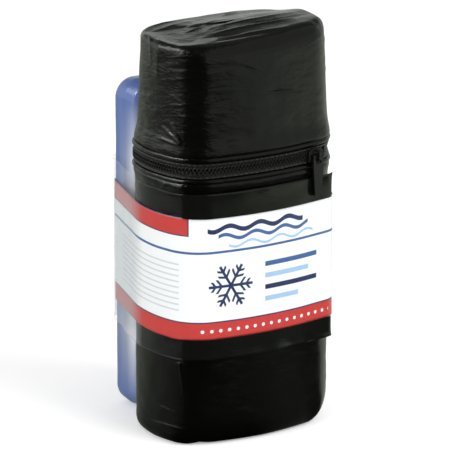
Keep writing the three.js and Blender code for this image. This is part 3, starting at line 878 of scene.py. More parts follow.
def between_profiles(profile, radii, softness):
    """A grid whose edge radius changes round the outline. It blends two grids, made with the sharp
    and the soft radius, by a share that softness gives at some directions in degrees."""
    share = np.interp(outward_degrees, list(softness), list(softness.values()))[None, :, None]
    first, last = (rows_of(loop, *profile(radius)) for radius in radii)
    return first + share * (last - first)


def profile_lengths(offsets, heights, shares):
    """Distances along a profile, measured where the outline is a mean radius from the axis."""
    return run_lengths(offsets * shares + MEAN_RADIUS * shares, heights)


def join_profile(*stretches):
    """Joins stretches of a profile, each with offsets, heights and shares, into three arrays."""
    parts = [np.broadcast_arrays(*np.atleast_1d(*stretch)) for stretch in stretches]
    return [np.concatenate(column) for column in zip(*parts)]


def arc_of(middle_offset, middle_height, radius, first, last, count, upright=None):
    """A stretch of a profile round a middle, from one angle to another, in quarter turns. Angle 0
    points outwards and angle 1 up. A second, upright radius makes it part of an ellipse."""
    angles = np.linspace(first, last, count) * QUARTER
    upright = upright or radius
    return middle_offset + radius * np.cos(angles), middle_height + upright * np.sin(angles), 1.0


def flare(grid, edge_height, rise, reach):
    """How far the cloth climbs on to the welt near an edge: a bell curve of the distance, plus a
    cosine round the outline that fades exponentially."""
    places = loop_places[:-1] / OUTLINE
    away = np.abs(grid[..., 2] - edge_height) / reach
    puckers = np.cos(2 * np.pi * PUCKERS * places + 3 * np.sin(7 * places))
    return rise * np.exp(-away ** 2) + PUCKER_HEIGHT * puckers * away * np.exp(-away)


# The radius of the bottom edge, sharpest and softest, and how soft it is at directions in degrees
BODY_EDGE = (2.5 * mm, 8.5 * mm)
BODY_SOFTNESS = {
    0: 0.7, 60: 0.5, 90: 0.3, 180: 0, 215: 0.3, 237: 1,
    255: 0.8, 270: 0.5, 300: 0.8, 320: 1, 340: 1, 360: 0.7,
}
FLOOR_SHARES = np.array([0.75, 0.45, 0.15])
FLARE = 0.95 * mm
BODY_FLARE_REACH = 3.4 * mm
LOWEST_CREASE = 2 * mm
REST_FADE = 5 * mm

# Between these heights the film holds the cover, which then stands in or out by no more than this
UNDER_FILM = (38 * mm, 117 * mm)
HELD_RELIEF = (-0.6 * mm, 0.12 * mm)


def body_profile(edge):
    """The body's profile for one radius of its bottom edge, always with as many rows. The edge is
    an ellipse that is taller than wide, because the board holds the cloth out below."""
    half = COVER / 2
    rise = 1.65 * edge
    wall = np.concatenate([
        np.linspace(rise, LOWER_ROWS_TOP, 92)[1:],
        np.arange(*HIDDEN_ROWS),
        np.arange(UPPER_ROWS_FOOT, BODY_TOP - COVER, FINE_ROW),
    ])
    return join_profile(
        (-edge, 0.0, np.linspace(0.05, 0.96, 16)),
        arc_of(-edge, rise, edge, -1, 0, 14, rise),
        (0.0, wall, 1.0),
        arc_of(-half, BODY_TOP - half, half, 0, 2, 7),
        (-COVER, np.linspace(BODY_TOP - COVER, rise + COVER, INNER_ROWS), 1.0),
        arc_of(-edge, rise, edge - COVER, 0, -1, INNER_ROWS, rise - COVER),
        (-edge, COVER, FLOOR_SHARES),
    )


def make_body_cover(material):
    """The cup's grid with its relief along the normals. The relief dies away at the floor, so that
    the case stands flat, and inside, where nobody looks."""
    grid = between_profiles(body_profile, BODY_EDGE, BODY_SOFTNESS)
    offsets, heights, shares = body_profile(BODY_EDGE[0])
    relief, normals = cover_relief(grid, BODY_CREASES, 11, LOWEST_CREASE, BODY_TOP)
    under_film = (heights > UNDER_FILM[0]) & (heights < UNDER_FILM[1])
    relief = np.where(under_film[:, None], np.clip(relief, *HELD_RELIEF), relief)
    relief = relief + flare(grid, BODY_TOP, FLARE, BODY_FLARE_REACH)
    outer_rows = len(heights) - 2 * INNER_ROWS - len(FLOOR_SHARES)
    outside = np.clip((outer_rows - np.arange(len(heights))) / 4, 0, 1)
    rests = np.clip(heights / REST_FADE, 0, 1)
    grid = grid + (relief * (rests * outside)[:, None])[..., None] * normals
    grid[..., 2] = np.maximum(grid[..., 2], 0)
    poles = [(0, 0, 0), (0, 0, COVER)]
    lengths = profile_lengths(offsets, heights, shares)
    return grid_piece("body_cover_fabric", grid, material, loop_places, lengths, poles)


nylon = nylon_under_film()
given(make_body_cover(nylon), "case_body", "cover_fabric", "body_cover")

# %% [markdown]
# ## The lid's cover
# The lid is the same cup turned over, with a tapered wall and a slightly domed top. The dome's
# height is the square of 1 less the squared distance from its middle, so it meets the rounded edge
# level. The soft lid also stands higher at the front right, is hollow on the left and sunk at the
# front left of its top.

# %% Lid cover
LID_BOTTOM = 132.3 * mm
CROWN = 180.9 * mm
DOME = 1.6 * mm
TAPER = 1.9 * mm
LID_EDGE = 8.2 * mm
STAND_UP = 3 * mm
RAMP_DEPTH = 18 * mm
RAMP_WIDTH = 62 * mm

# The radius of the top edge and how soft it is at directions in degrees, as for the body
SEWN_EDGE = (2.5 * mm, 8 * mm)
LID_SOFTNESS = {0: 0.1, 90: 0.1, 180: 0.1, 205: 0.4, 235: 0.9, 270: 1, 310: 0.8, 340: 0.2, 360: 0.1}
CEILING_SHARES = np.array([0.1, 0.4, 0.7, 0.95])
DOWN_SHARES = np.array([0.75, 0.5, 0.25, 0.05])
LID_FLARE_REACH = 5 * mm

# The wall is hollow on the left, about a direction and within so many degrees
HOLLOW_TURN = 150
HOLLOW_SPREAD = 35
HOLLOW_DEPTH = 0.9 * mm
HOLLOW_FADE = 8 * mm

# The top is sunk at its front left, about a pixel and within so many pixels
SUNK_PIXEL = (184, 40)
SUNK_PIXELS = (21, 8)
SUNK_DEPTH = 1.5 * mm


def dome_at(shares, crown=CROWN):
    """The dome's heights at shares of the distance from its middle to its rim."""
    return crown + DOME * (1 - shares ** 2) ** 2


def stood_up(grid):
    """A lid layer, stretched upwards towards the front right, where the soft lid of the photograph
    stands higher. The stretch is a product of two smooth ramps, and grows from the lid's rim."""
    x, y, z = np.moveaxis(grid, -1, 0)
    slopes = ((RAMP_DEPTH - y) / RAMP_DEPTH, (x + RAMP_WIDTH / 2) / RAMP_WIDTH)
    ramps = [np.clip(share, 0, 1) for share in slopes]
    across, along = (share ** 2 * (3 - 2 * share) for share in ramps)
    climb = np.clip((z - LID_BOTTOM) / (CROWN - LID_BOTTOM), 0, 1)
    return np.stack([x, y, z + STAND_UP * across * along * climb], axis=-1)


def lid_profile(edge):
    """The lid's profile for one radius of its top edge, always with as many rows."""
    half = COVER / 2
    shoulder = CROWN - edge
    wall = np.linspace(LID_BOTTOM + COVER, shoulder, 106)[:-1]
    taper = -TAPER * (wall - LID_BOTTOM) / (shoulder - LID_BOTTOM)
    down = LID_BOTTOM + COVER + DOWN_SHARES * (shoulder - LID_BOTTOM - COVER)
    top = np.linspace(0.985, 0.03, 44)
    inset = -TAPER - edge
    return join_profile(
        (inset, dome_at(CEILING_SHARES) - COVER, CEILING_SHARES),
        arc_of(inset, shoulder, edge - COVER, 1, 0, INNER_ROWS),
        (-COVER - TAPER * DOWN_SHARES, down, 1.0),
        arc_of(-half, LID_BOTTOM + half, half, -2, 0, 7),
        (taper, wall, 1.0),
        arc_of(inset, shoulder, edge, 0, 1, 15),
        (inset, dome_at(top), top),
    )


def make_lid_cover(material):
    """The lid's grid with its relief, less the hollow on the left and the sunk corner of the top.
    Each of the two falls off as a bell curve."""
    grid = stood_up(between_profiles(lid_profile, SEWN_EDGE, LID_SOFTNESS))
    offsets, heights, shares = lid_profile(SEWN_EDGE[0])
    relief, normals = cover_relief(grid, LID_CREASES, 21, LID_BOTTOM, CROWN)
    hollow = np.exp(-((outward_degrees - HOLLOW_TURN) / HOLLOW_SPREAD) ** 2)
    relief = relief - HOLLOW_DEPTH * hollow * np.clip((grid[..., 2] - LID_BOTTOM) / HOLLOW_FADE, 0.3, 1)
    relief = relief + flare(grid, LID_BOTTOM, FLARE, LID_FLARE_REACH) * (1 - 0.5 * hollow)
    pixels = zip(photo_pixels(grid), SUNK_PIXEL, SUNK_PIXELS)
    apart_x, apart_y = (((pixel - middle) / spread) ** 2 for pixel, middle, spread in pixels)
    relief = relief - SUNK_DEPTH * np.exp(-apart_x - apart_y) * facing_camera(normals)
    inner_rows = len(CEILING_SHARES) + INNER_ROWS + len(DOWN_SHARES)
    outside = np.clip((np.arange(len(heights)) - inner_rows) / 4, 0, 1)[:, None]
    grid = grid + (relief * outside)[..., None] * normals
    poles = [(0, 0, CROWN + DOME - COVER), (0, 0, CROWN + DOME)]
    lengths = profile_lengths(offsets, heights, shares)
    return grid_piece("lid_cover_fabric", grid, material, loop_places, lengths, poles)


given(make_lid_cover(nylon), "lid", "cover_fabric", "lid_cover")

# %% [markdown]
# ## Welts, tapes and bindings
# A welt is a cord wrapped in cloth and sewn into the seam. A binding is a tape folded over the edge
# of all the layers. Each is a closed section carried along the outline, either all the way round or
# between two places.

# %% Sections along the outline
def rounded_section(inner, outer, low, high, radius, steps=3):
    """A rectangle with round corners, anticlockwise with outwards to the right, as offsets and
    heights. Each corner is a quarter turn round a middle that lies a radius inside both sides."""
    middles = [(outer, low, -1), (outer, high, 0), (inner, high, 1), (inner, low, 2)]
    offsets, heights = [], []
    for offset, height, first in middles:
        middle_offset = offset - radius * np.sign(offset - inner - (outer - inner) / 2)
        middle_height = height - radius * np.sign(height - (low + high) / 2)
        corner = arc_of(middle_offset, middle_height, radius, first, first + 1, steps + 1)
        offsets.append(corner[0])
        heights.append(corner[1])
    return np.concatenate(offsets), np.concatenate(heights)


def round_section(offset, height, radius, sides=14):
    """A circle, as offsets and heights."""
    angles = ring_angles(sides)
    return offset + radius * np.cos(angles), height + radius * np.sin(angles)


def run_section(name, section, places, material, loop_closed):
    """Carries a closed section along places on the outline."""
    offsets, heights = section
    grid = rows_of(outline(places), offsets, heights)
    us = np.append(places, OUTLINE) if loop_closed else places
    closed = [np.append(values, values[0]) for values in section]
    return grid_piece(name, grid, material, us, run_lengths(*closed), ring=True, loop=loop_closed)


def hoop(name, section, material, columns=COLUMNS):
    """A section carried all the way round the outline."""
    return run_section(name, section, np.arange(columns) / columns * OUTLINE, material, True)


def strip(name, section, first, last, material, step=0.8 * mm):
    """A section carried from one place on the outline to another."""
    places = np.linspace(first, last, int((last - first) / step))
    return run_section(name, section, places, material, False)


# %% Welts and bindings of both rims
WELT_RISE = 4.8 * mm
WELT_RADIUS = 1.2 * mm
RIM = (-7.6 * mm, -1.5 * mm)
RIM_SETBACK = 0.4 * mm
RIM_THICKNESS = 1 * mm
RIM_ROUND = 0.42 * mm

black_tape = woven_tape("black_tape", (0.011, 0.011, 0.01), 0.5)
halves = {"body": (-1, "case_body"), "lid": (1, "lid")}
for word, (side, body) in halves.items():
    welt = hoop(word + "_welt", round_section(0, SPLIT + side * WELT_RISE, WELT_RADIUS), nylon)
    given(welt, body, "cover_fabric", word + "_piping")
    heights = sorted((SPLIT + side * RIM_SETBACK, SPLIT + side * (RIM_SETBACK + RIM_THICKNESS)))
    section = rounded_section(*RIM, *heights, RIM_ROUND)
    binding = hoop(word + "_edge_binding", section, black_tape)
    given(binding, body, "binding_tape", word + "_rim_binding")

# %% [markdown]
# ## The zip
# A coil zip is one nylon wire wound into a row on each side, sewn to a tape. The wire isn't a plain
# spiral: both legs of a turn lie one over the other, so that the other row's heads fit between the
# turns, and it steps on to the next turn only at the root. So the place along the chain runs as the
# turns less a sine of the turns, which stands still at each head.

# %% Tapes
TAPE = (-1.1 * mm, -0.15 * mm)
TAPE_REACH = (0.3 * mm, 3.3 * mm)
TAPE_CLIMB = 0.75 * mm
TAPE_ROUND = 0.3 * mm
TAPE_CLEARANCE = 0.3 * mm
HINGE_HALF = 13.5 * mm
zip_words = {"lower": (-1, "case_body"), "upper": (1, "lid")}

for word, (side, body) in zip_words.items():
    low, high = sorted(SPLIT + side * reach for reach in TAPE_REACH)
    offsets, heights = rounded_section(*TAPE, low, high, TAPE_ROUND)
    climb = np.interp(np.abs(heights - SPLIT), TAPE_REACH, (0, TAPE_CLIMB))
    start = HINGE_HALF + TAPE_CLEARANCE
    tape = strip(word + "_tape", (offsets + climb, heights), start, OUTLINE - start, black_tape)
    given(tape, body, "binding_tape", word + "_zip_tape")

# %% Coil rows
CHAIN_START = 30 * mm
PITCH = 1.7 * mm
TURNS = 107
WIRE = 0.28 * mm
COIL_OFFSET = 0.5 * mm
COIL_DEPTH = 0.22 * mm
COIL_MIDDLE = 0.825 * mm
COIL_HALF = 0.995 * mm
STEPS_A_TURN = 12


def tube(name, centres, sideways, radius, sides, material):
    """A round wire along a line of points. Its section's first axis is the sideways direction, less
    what of it runs along the wire, and the second is square to both."""
    along = unit(np.gradient(centres, axis=0))
    first = sideways - (sideways * along).sum(axis=-1, keepdims=True) * along
    first = unit(first)
    second = np.cross(along, first)
    angles = ring_angles(sides)
    cosines, sines = np.cos(angles)[None, :, None], np.sin(angles)[None, :, None]
    spokes = cosines * first[:, None] + sines * second[:, None]
    grid = centres[:, None] + radius * spokes
    us = np.arange(sides + 1) / sides * 4 * QUARTER * radius
    return grid_piece(name, grid, material, us, run_lengths(*centres.T), poles=[centres[0], centres[-1]])


def tangents_of(outwards):
    """The directions along the outline: the outward ones, a quarter turn anticlockwise."""
    return np.stack([-outwards[:, 1], outwards[:, 0], np.zeros(len(outwards))], axis=-1)


def coil_line(side):
    """The wire's middle line. The turns count t, the place is the start plus the pitch times t less
    a sine of t, and the height and the offset are the cosine and the sine of t."""
    turns = np.arange(TURNS * STEPS_A_TURN + 1) / STEPS_A_TURN
    angle = 4 * QUARTER * turns
    lead = PITCH * (1 if side > 0 else 0.5)
    places = CHAIN_START + lead + PITCH * (turns - np.sin(angle) / (4 * QUARTER))
    points, outwards = outline(places)
    flat = points + (COIL_OFFSET + COIL_DEPTH * np.sin(angle))[:, None] * outwards
    height = SPLIT + side * (COIL_MIDDLE - COIL_HALF * np.cos(angle))
    return np.concatenate([flat, height[:, None]], axis=-1), tangents_of(outwards)


nylon_wire = coil_nylon()
for word, (side, body) in zip_words.items():
    line, tangents = coil_line(side)
    coil = tube(word + "_coil", line, tangents, WIRE, 5, nylon_wire)
    given(coil, body, "coil_nylon", word + "_coil_row")

# %% [markdown]
# ## Sewing
# Stitches show what is joined to what. Each is a short thread that dips into the cloth at both
# ends. One stitch is modelled with a few faces and numpy copies it to every place along a seam.

# %% Rows of stitches
STITCH_PITCH = 2.6 * mm
STITCH_LENGTH = 1.9 * mm
STITCH_DIP = 0.12 * mm
STITCH_SIDES = 6
THREAD = 0.17 * mm


def one_stitch():
    """A thread as a grid. Its radius swells as the root of a sine, and it dips towards its ends by
    what the sine lacks of 1."""
    share = np.linspace(0, 1, 7)
    radius = THREAD * np.maximum(np.sin(np.pi * share), 0) ** 0.5
    angles = ring_angles(STITCH_SIDES)
    along = (share - 0.5) * STITCH_LENGTH
    dip = -STITCH_DIP * (1 - np.sin(np.pi * share))
    across = radius[1:-1, None] * np.cos(angles)
    up = radius[1:-1, None] * np.sin(angles) + dip[1:-1, None]
    grid = np.stack(np.broadcast_arrays(along[1:-1, None], across, up), axis=-1)
    tips = np.array([(along[0], 0, dip[0]), (along[-1], 0, dip[-1])])
    rows, columns = grid.shape[:2]
    faces = faces_of(rows, columns, False, True).tolist() + pole_faces(rows, columns)
    return np.concatenate([grid.reshape(-1, 3), tips]), faces


def stitches(name, offset, height, places, up_share, material):
    """Copies the stitch to each place. up_share is 1 where the cloth faces along Z, -1 where it faces
    down and 0 where it faces outwards."""
    shape, faces = one_stitch()
    points, outwards = outline(places)
    outward = np.insert(outwards, 2, 0, axis=1)
    tangent = tangents_of(outwards)
    facing = outward if up_share == 0 else np.broadcast_to((0, 0, up_share), outward.shape)
    across = np.cross(facing, tangent)
    centres = np.insert(points + offset * outwards, 2, height, axis=1)
    axes = np.stack([tangent, across, facing], axis=1)
    copies = centres[:, None] + np.einsum("pk,sko->spo", shape, axes)
    starts = range(0, len(shape) * len(places), len(shape))
    every = [[corner + start for corner in face] for start in starts for face in faces]
    return make_piece(name, copies.reshape(-1, 3), every, material)


def sewing_thread():
    """Black polyester thread with its twist."""
    finish = Finish("sewing_thread", (0.02, 0.02, 0.02), 0.5, {"Sheen Weight": 0.3})
    x, y, z = finish.split(finish.place())
    twist = ((x + y + z) * 9).named("sine") * 0.5 + 0.5
    finish.feed("Base Color", finish.mix(twist, (0.012, 0.012, 0.012), (0.035, 0.035, 0.035)))
    finish.feed("Normal", finish.bump(twist, 0.00004))
    return finish.material


# Where the two seams run: the edge's offset and depth, and the tape's offset, distance from the
# split and start
EDGE_SEAM = -4.4 * mm
EDGE_SEAM_DEPTH = 0.05 * mm
TAPE_SEAM = 0.5 * mm
TAPE_SEAM_REACH = 2.85 * mm
TAPE_SEAM_START = 15 * mm

thread = sewing_thread()
all_round = np.arange(0, OUTLINE - STITCH_PITCH / 2, STITCH_PITCH)
zip_side = all_round[(all_round > TAPE_SEAM_START) & (all_round < OUTLINE - TAPE_SEAM_START)]
for word, (side, body) in halves.items():
    height = SPLIT + side * (RIM_SETBACK - EDGE_SEAM_DEPTH)
    seam = stitches(word + "_edge_stitches", EDGE_SEAM, height, all_round, -side, thread)
    given(seam, body, "binding_tape")
    height = SPLIT + side * TAPE_SEAM_REACH
    tape_seam = stitches(word + "_tape_stitches", TAPE_SEAM, height, zip_side, 0, thread)
    given(tape_seam, body, "binding_tape")

# %% [markdown]
# ## The hinge panel
# At the right-hand end the lid stays joined to the body by a strip of the cover's cloth. The solid
# model has one leaf on each side, and here they are one strip across the split. Its rows are close
# together, because the real cloth bends within six millimetres.

# %% Hinge panel
PANEL = (-1.1 * mm, -0.1 * mm)
PANEL_ROUND = 0.3 * mm


def make_hinge_panel(material):
    """A strip whose section has many points up both faces, so that it can bend smoothly."""
    low, high = SPLIT - TAPE_REACH[1], SPLIT + TAPE_REACH[1]
    climb = np.linspace(low + PANEL_ROUND, high - PANEL_ROUND, 22)
    inner, outer = (np.full(len(climb), offset) for offset in PANEL)
    middle = [sum(PANEL) / 2]
    offsets = np.concatenate([outer, middle, inner, middle])
    heights = np.concatenate([climb, [high], climb[::-1], [low]])
    return strip("hinge_panel", (offsets, heights), -HINGE_HALF, HINGE_HALF, material)


hinge_panel = make_hinge_panel(black_tape)
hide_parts("lower_hinge_leaf", "upper_hinge_leaf")
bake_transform(hinge_panel)

# %% [markdown]
# ## Foam, lining and divider
# Between the cover and the lining lies five millimetres of foam. It gives a little where it is
# pressed, so its faces wander by a fraction of a millimetre. The lining is a coated cloth that lies
# loosely on the foam, and it wrinkles more.

# %% Cups inside the cover
LEAST_RADIUS = 2 * mm


def cup_profile(outer, inner, floor, rise, top, edge_radius):
    """A tub: out over its floor, up, over the rim and down inside. outer and inner are depths."""
    outer_radius = max(edge_radius - outer, LEAST_RADIUS)
    inner_radius = max(edge_radius - inner, LEAST_RADIUS)
    half = (inner - outer) / 2
    shares = np.linspace(0.1, 0.95, 12)
    climb = np.linspace(0.02, 0.98, 60)
    return join_profile(
        (-outer - outer_radius, floor, shares),
        arc_of(-outer - outer_radius, floor + outer_radius, outer_radius, -1, 0, 6),
        (-outer, floor + outer_radius + climb * (top - half - floor - outer_radius), 1.0),
        arc_of(-outer - half, top - half, half, 0, 2, 9),
        (-inner, top - half - climb * (top - half - rise - inner_radius), 1.0),
        arc_of(-inner - inner_radius, rise + inner_radius, inner_radius, 0, -1, 6),
        (-inner - inner_radius, rise, shares[::-1]),
    )


def make_cup(name, profile, wander, size, seed, material, bend=None, columns=240):
    """A soft cup whose faces wander along their normals, bent as a whole if a bend is given."""
    offsets, heights, shares = profile
    ring = outline(np.arange(columns) / columns * OUTLINE)
    grid = rows_of(ring, offsets, heights, shares)
    if bend:
        grid = bend(grid)
    grid = grid + (wander * np.clip(dents(grid, size, seed), -1, 1))[..., None] * normals_of(grid)
    poles = [(0, 0, row[:, 2].mean()) for row in (grid[0], grid[-1])]
    us = np.arange(columns + 1) / columns * OUTLINE
    return grid_piece(name, grid, material, us, profile_lengths(offsets, heights, shares), poles)


LAYER_SETBACK = 1.7 * mm
LAYER_EDGE = 10 * mm
FOAM = (1.5 * mm, 6.5 * mm)
LINING = (6.8 * mm, 7.6 * mm)
FOAM_FLOOR = (3.3 * mm, 8.3 * mm)
LINING_FLOOR = (8.6 * mm, 9.4 * mm)

# How far the faces of each layer wander, and how far apart the waves of that are
FOAM_WANDER = (0.1 * mm, 16 * mm)
LINING_WANDER = (0.12 * mm, 18 * mm)

foam = cell_foam()
lining = coated_lining()
foam_profile = cup_profile(*FOAM, *FOAM_FLOOR, SPLIT - LAYER_SETBACK, LAYER_EDGE)
body_foam = make_cup("body_foam_pad", foam_profile, *FOAM_WANDER, 31, foam)
given(body_foam, "case_body", "foam", "body_foam")
lining_profile = cup_profile(*LINING, *LINING_FLOOR, SPLIT - LAYER_SETBACK, LAYER_EDGE)
body_lining = make_cup("body_lining_cloth", lining_profile, *LINING_WANDER, 32, lining)
given(body_lining, "case_body", "lining_fabric", "body_lining")


def turned_round(stretch):
    """A stretch of a profile, walked the other way."""
    return [np.flip(values) if np.ndim(values) else values for values in stretch]


def lid_layer_profile(outer, inner):
    """The same layers in the lid: from the ceiling's middle down to the rim, and up over the top."""
    bottom = SPLIT + LAYER_SETBACK
    half = (inner - outer) / 2
    shares = np.linspace(0.1, 0.95, 12)
    climb = np.linspace(0.03, 0.97, 30)
    faces = []
    for depth in (inner, outer):
        radius = max(LID_EDGE - depth, LEAST_RADIUS)
        shoulder, crown = depth + TAPER, CROWN - depth
        inset = -shoulder - radius
        first, last = bottom + half, crown - radius
        dome = (inset, dome_at(shares, crown), shares)
        wall = (-depth - TAPER * climb, first + climb * (last - first), 1.0)
        faces.append((dome, arc_of(inset, crown - radius, radius, 1, 0, 6), wall))
    (ceiling, inner_edge, inner_wall), (top, outer_edge, outer_wall) = faces
    rim = arc_of(-outer - half, bottom + half, half, -2, 0, 9)
    inside = (ceiling, inner_edge, turned_round(inner_wall))
    return join_profile(*inside, rim, outer_wall, turned_round(outer_edge), turned_round(top))


lid_foam = make_cup("lid_foam_pad", lid_layer_profile(*FOAM), *FOAM_WANDER, 33, foam, stood_up)
given(lid_foam, "lid", "foam", "lid_foam")
lid_lining = make_cup(
    "lid_lining_cloth", lid_layer_profile(*LINING), *LINING_WANDER, 34, lining, stood_up)
given(lid_lining, "lid", "lining_fabric", "lid_lining")


# %% Divider
CHAMFER = 2.3 * mm
LEVEL_ROW = 30

# The divider's slow wave: its height, and the distances over which its two sines turn
DIVIDER_WAVE = (0.1 * mm, 9 * mm, 13 * mm)


def make_divider(material):
    """A thin board covered with lining. Each row is a flat loop with round ends, and the rows narrow
    towards the cut-off corners at the floor and round off at the top and the bottom."""
    low, high = (np.array(corner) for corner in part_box("divider_panel"))
    half_width, half_thickness = (high[0] - low[0]) / 2, (high[1] - low[1]) / 2
    middle = (high[1] + low[1]) / 2
    round_off = np.linspace(0.05, 1, 5)
    climb = np.linspace(0, 1, 60)
    heights = np.concatenate([
        low[2] + half_thickness * (1 - np.sqrt(1 - (1 - round_off) ** 2)),
        low[2] + half_thickness + climb[1:-1] * (high[2] - low[2] - 2 * half_thickness),
        high[2] - half_thickness * (1 - np.sqrt(1 - (1 - round_off[::-1]) ** 2)),
    ])
    from_end = np.minimum(heights - low[2], high[2] - heights)
    edge = (1 - from_end / half_thickness).clip(0)
    thickness = half_thickness * np.sqrt(np.clip(1 - edge ** 2, 0.02, 1))
    width = half_width - np.maximum(0, CHAMFER - (heights - low[2]))
    steps = np.linspace(-1, 1, 90)
    turn = np.linspace(-1, 1, 9)[1:-1] * QUARTER
    level, end = np.zeros(len(steps)), np.ones(len(turn))
    side_x = np.concatenate([steps, end, steps[::-1], -end])
    bulge_x = np.concatenate([level, np.cos(turn), level, -np.cos(turn)])
    side_y = np.concatenate([level - 1, np.sin(turn), level + 1, -np.sin(turn)])
    x = side_x * (width - half_thickness)[:, None] + bulge_x * thickness[:, None]
    wave, across, upwards = DIVIDER_WAVE
    wave = wave * np.sin(x / across) * np.sin(heights / upwards)[:, None]
    y = middle + side_y * thickness[:, None] + wave
    z = np.broadcast_to(heights[:, None], x.shape)
    grid = np.stack([x, y, z], axis=-1)
    us = run_lengths(*(np.append(row[LEVEL_ROW], row[LEVEL_ROW, 0]) for row in (x, y)))
    poles = [(0, middle, low[2]), (0, middle, high[2])]
    return grid_piece("divider_board", grid, material, us, heights - low[2], poles)


given(make_divider(lining), "case_body", "lining_fabric", "divider_panel")

# %% [markdown]
# ## The ice pack
# The pack is a flat bottle of blow-moulded plastic. Its surface is a loop round the rounded
# rectangle of its front, drawn in to the middle of each face and carried over the edge by a half
# circle. The faces are slightly sunk, and a thin parting line runs round the edge's middle. The
# bottle gets its wall from Solidify, and a Boolean cuts the filling hole for the plug.

# %% Bottle
PACK_LOW, PACK_HIGH = (np.array(corner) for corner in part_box("ice_pack_shell"))
PACK_MIDDLE = (PACK_LOW + PACK_HIGH) / 2
PACK_HALF = (PACK_HIGH - PACK_LOW) / 2
PACK_CORNER = 9.3 * mm
PACK_EDGE = 5 * mm
PACK_WALL = 1.6 * mm
PACK_WANDER = (0.1 * mm, 20 * mm)
FACE_SINK = 0.45 * mm
PARTING_RISE = 0.25 * mm
PARTING_TURN = 0.09
PLUG_RADIUS = 5.2 * mm
PLUG_HEIGHT = 2.6 * mm
PLUG_CLEARANCE = 0.25 * mm
HOLE_DEPTH = 8 * mm
DISH_RADIUS = PLUG_RADIUS - 1.2 * mm

# The plug's section from the middle of its foot to the middle of its dish, as distances from its
# axis and heights. Both are scaled to its radius and height.
PLUG_SECTION = np.array([
    (0.6, -2.6), (3.5, -2.6), (5.0, -2.55), (5.2, -2.4), (5.2, -0.45), (5.12, -0.15), (4.9, 0),
    (4.5, 0), (4.15, -0.12), (4.0, -0.5), (3.85, -0.85), (3.4, -1), (1.8, -1), (0.4, -1),
])


def rounded_loop(half_width, half_height, radius, corner_steps=16, gap=3 * mm):
    """Points and outward directions round an upright rounded rectangle, anticlockwise seen from
    the front: four quarter turns and the straight runs between them."""
    angles = np.linspace(0, 1, corner_steps) * QUARTER
    xs, zs, outs = [], [], []
    corners = [(1, -1, -1), (1, 1, 0), (-1, 1, 1), (-1, -1, 2)]
    for index, (sign_x, sign_z, first) in enumerate(corners):
        turn = first * QUARTER + angles
        middle = sign_x * (half_width - radius), sign_z * (half_height - radius)
        xs.append(middle[0] + radius * np.cos(turn))
        zs.append(middle[1] + radius * np.sin(turn))
        outs.append(turn)
        upright = index % 2 == 0
        run = 2 * ((half_height if upright else half_width) - radius)
        share = np.arange(1, int(run / gap)) / int(run / gap)
        direction = turn[-1]
        xs.append(xs[-1][-1] - share * run * np.sin(direction))
        zs.append(zs[-1][-1] + share * run * np.cos(direction))
        outs.append(np.full(len(share), direction))
    turns = np.concatenate(outs)
    points = np.stack([np.concatenate(xs), np.concatenate(zs)], axis=-1)
    return points, np.stack([np.cos(turns), np.sin(turns)], axis=-1)


def make_bottle(material):
    """Rows from the middle of the back face out, round the edge and in to the middle of the front."""
    points, outs = rounded_loop(PACK_HALF[0], PACK_HALF[2], PACK_CORNER)
    face = np.linspace(0.06, 0.97, 22)
    bend = np.linspace(-1, 1, 27) * QUARTER
    parting = PARTING_RISE * np.exp(-(bend / PARTING_TURN) ** 2)
    inset = np.full(len(face), -PACK_EDGE)
    offsets = np.concatenate([inset, PACK_EDGE * (np.cos(bend) - 1) + parting, inset])
    shares = np.concatenate([face, np.ones(len(bend)), face[::-1]])
    straight = (PACK_HALF[1] - PACK_EDGE) * np.clip(bend / 0.5, -1, 1)
    sunk = FACE_SINK * (1 - face ** 6)
    depths = np.concatenate([
        PACK_HALF[1] - sunk,
        -PACK_EDGE * np.sin(bend) - straight,
        (sunk - PACK_HALF[1])[::-1],
    ])
    flat = (points[None] + offsets[:, None, None] * outs[None]) * shares[:, None, None]
    x = PACK_MIDDLE[0] + flat[..., 0]
    z = PACK_MIDDLE[2] + flat[..., 1]
    y = PACK_MIDDLE[1] + np.broadcast_to(depths[:, None], x.shape)
    grid = np.stack([x, y, z], axis=-1)
    wander, size = PACK_WANDER
    grid = grid + (wander * dents(grid, size, 41))[..., None] * normals_of(grid)
    grid[..., 2] = np.maximum(grid[..., 2], 0)
    us = run_lengths(*np.append(points, points[:1], axis=0).T)
    vs = run_lengths(offsets + MEAN_RADIUS * shares, depths)
    poles = [(PACK_MIDDLE[0], depth, PACK_MIDDLE[2]) for depth in y[[0, -1], 0]]
    return grid_piece("ice_pack_bottle", grid, material, us, vs, poles)


def applied(piece):
    """Keeps a piece's mesh as its modifiers leave it, and removes them."""
    bpy.context.view_layer.update()
    dependencies = bpy.context.evaluated_depsgraph_get()
    mesh = bpy.data.meshes.new_from_object(piece.evaluated_get(dependencies))
    piece.modifiers.clear()
    piece.data = mesh
    return piece


def cut_filling_hole(bottle, material):
    """Gives the bottle its wall and cuts a round hole through its top."""
    wall = bottle.modifiers.new("wall", "SOLIDIFY")
    wall.thickness = PACK_WALL
    wall.offset = -1
    cutter_mesh = bpy.data.meshes.new("hole")
    shape = bmesh.new()
    radius = PLUG_RADIUS + PLUG_CLEARANCE
    bmesh.ops.create_cone(
        shape, cap_ends=True, segments=48, radius1=radius, radius2=radius, depth=HOLE_DEPTH)
    bmesh.ops.translate(shape, verts=shape.verts, vec=(*PACK_MIDDLE[:2], PACK_HIGH[2]))
    shape.to_mesh(cutter_mesh)
    shape.free()
    cutter_mesh.materials.append(material)
    cutter = bpy.data.objects.new("hole", cutter_mesh)
    bpy.context.scene.collection.objects.link(cutter)
    hole = bottle.modifiers.new("hole", "BOOLEAN")
    hole.operation = "DIFFERENCE"
    hole.solver = "EXACT"
    hole.object = cutter
    applied(bottle)
    bpy.data.objects.remove(cutter)
    return bottle


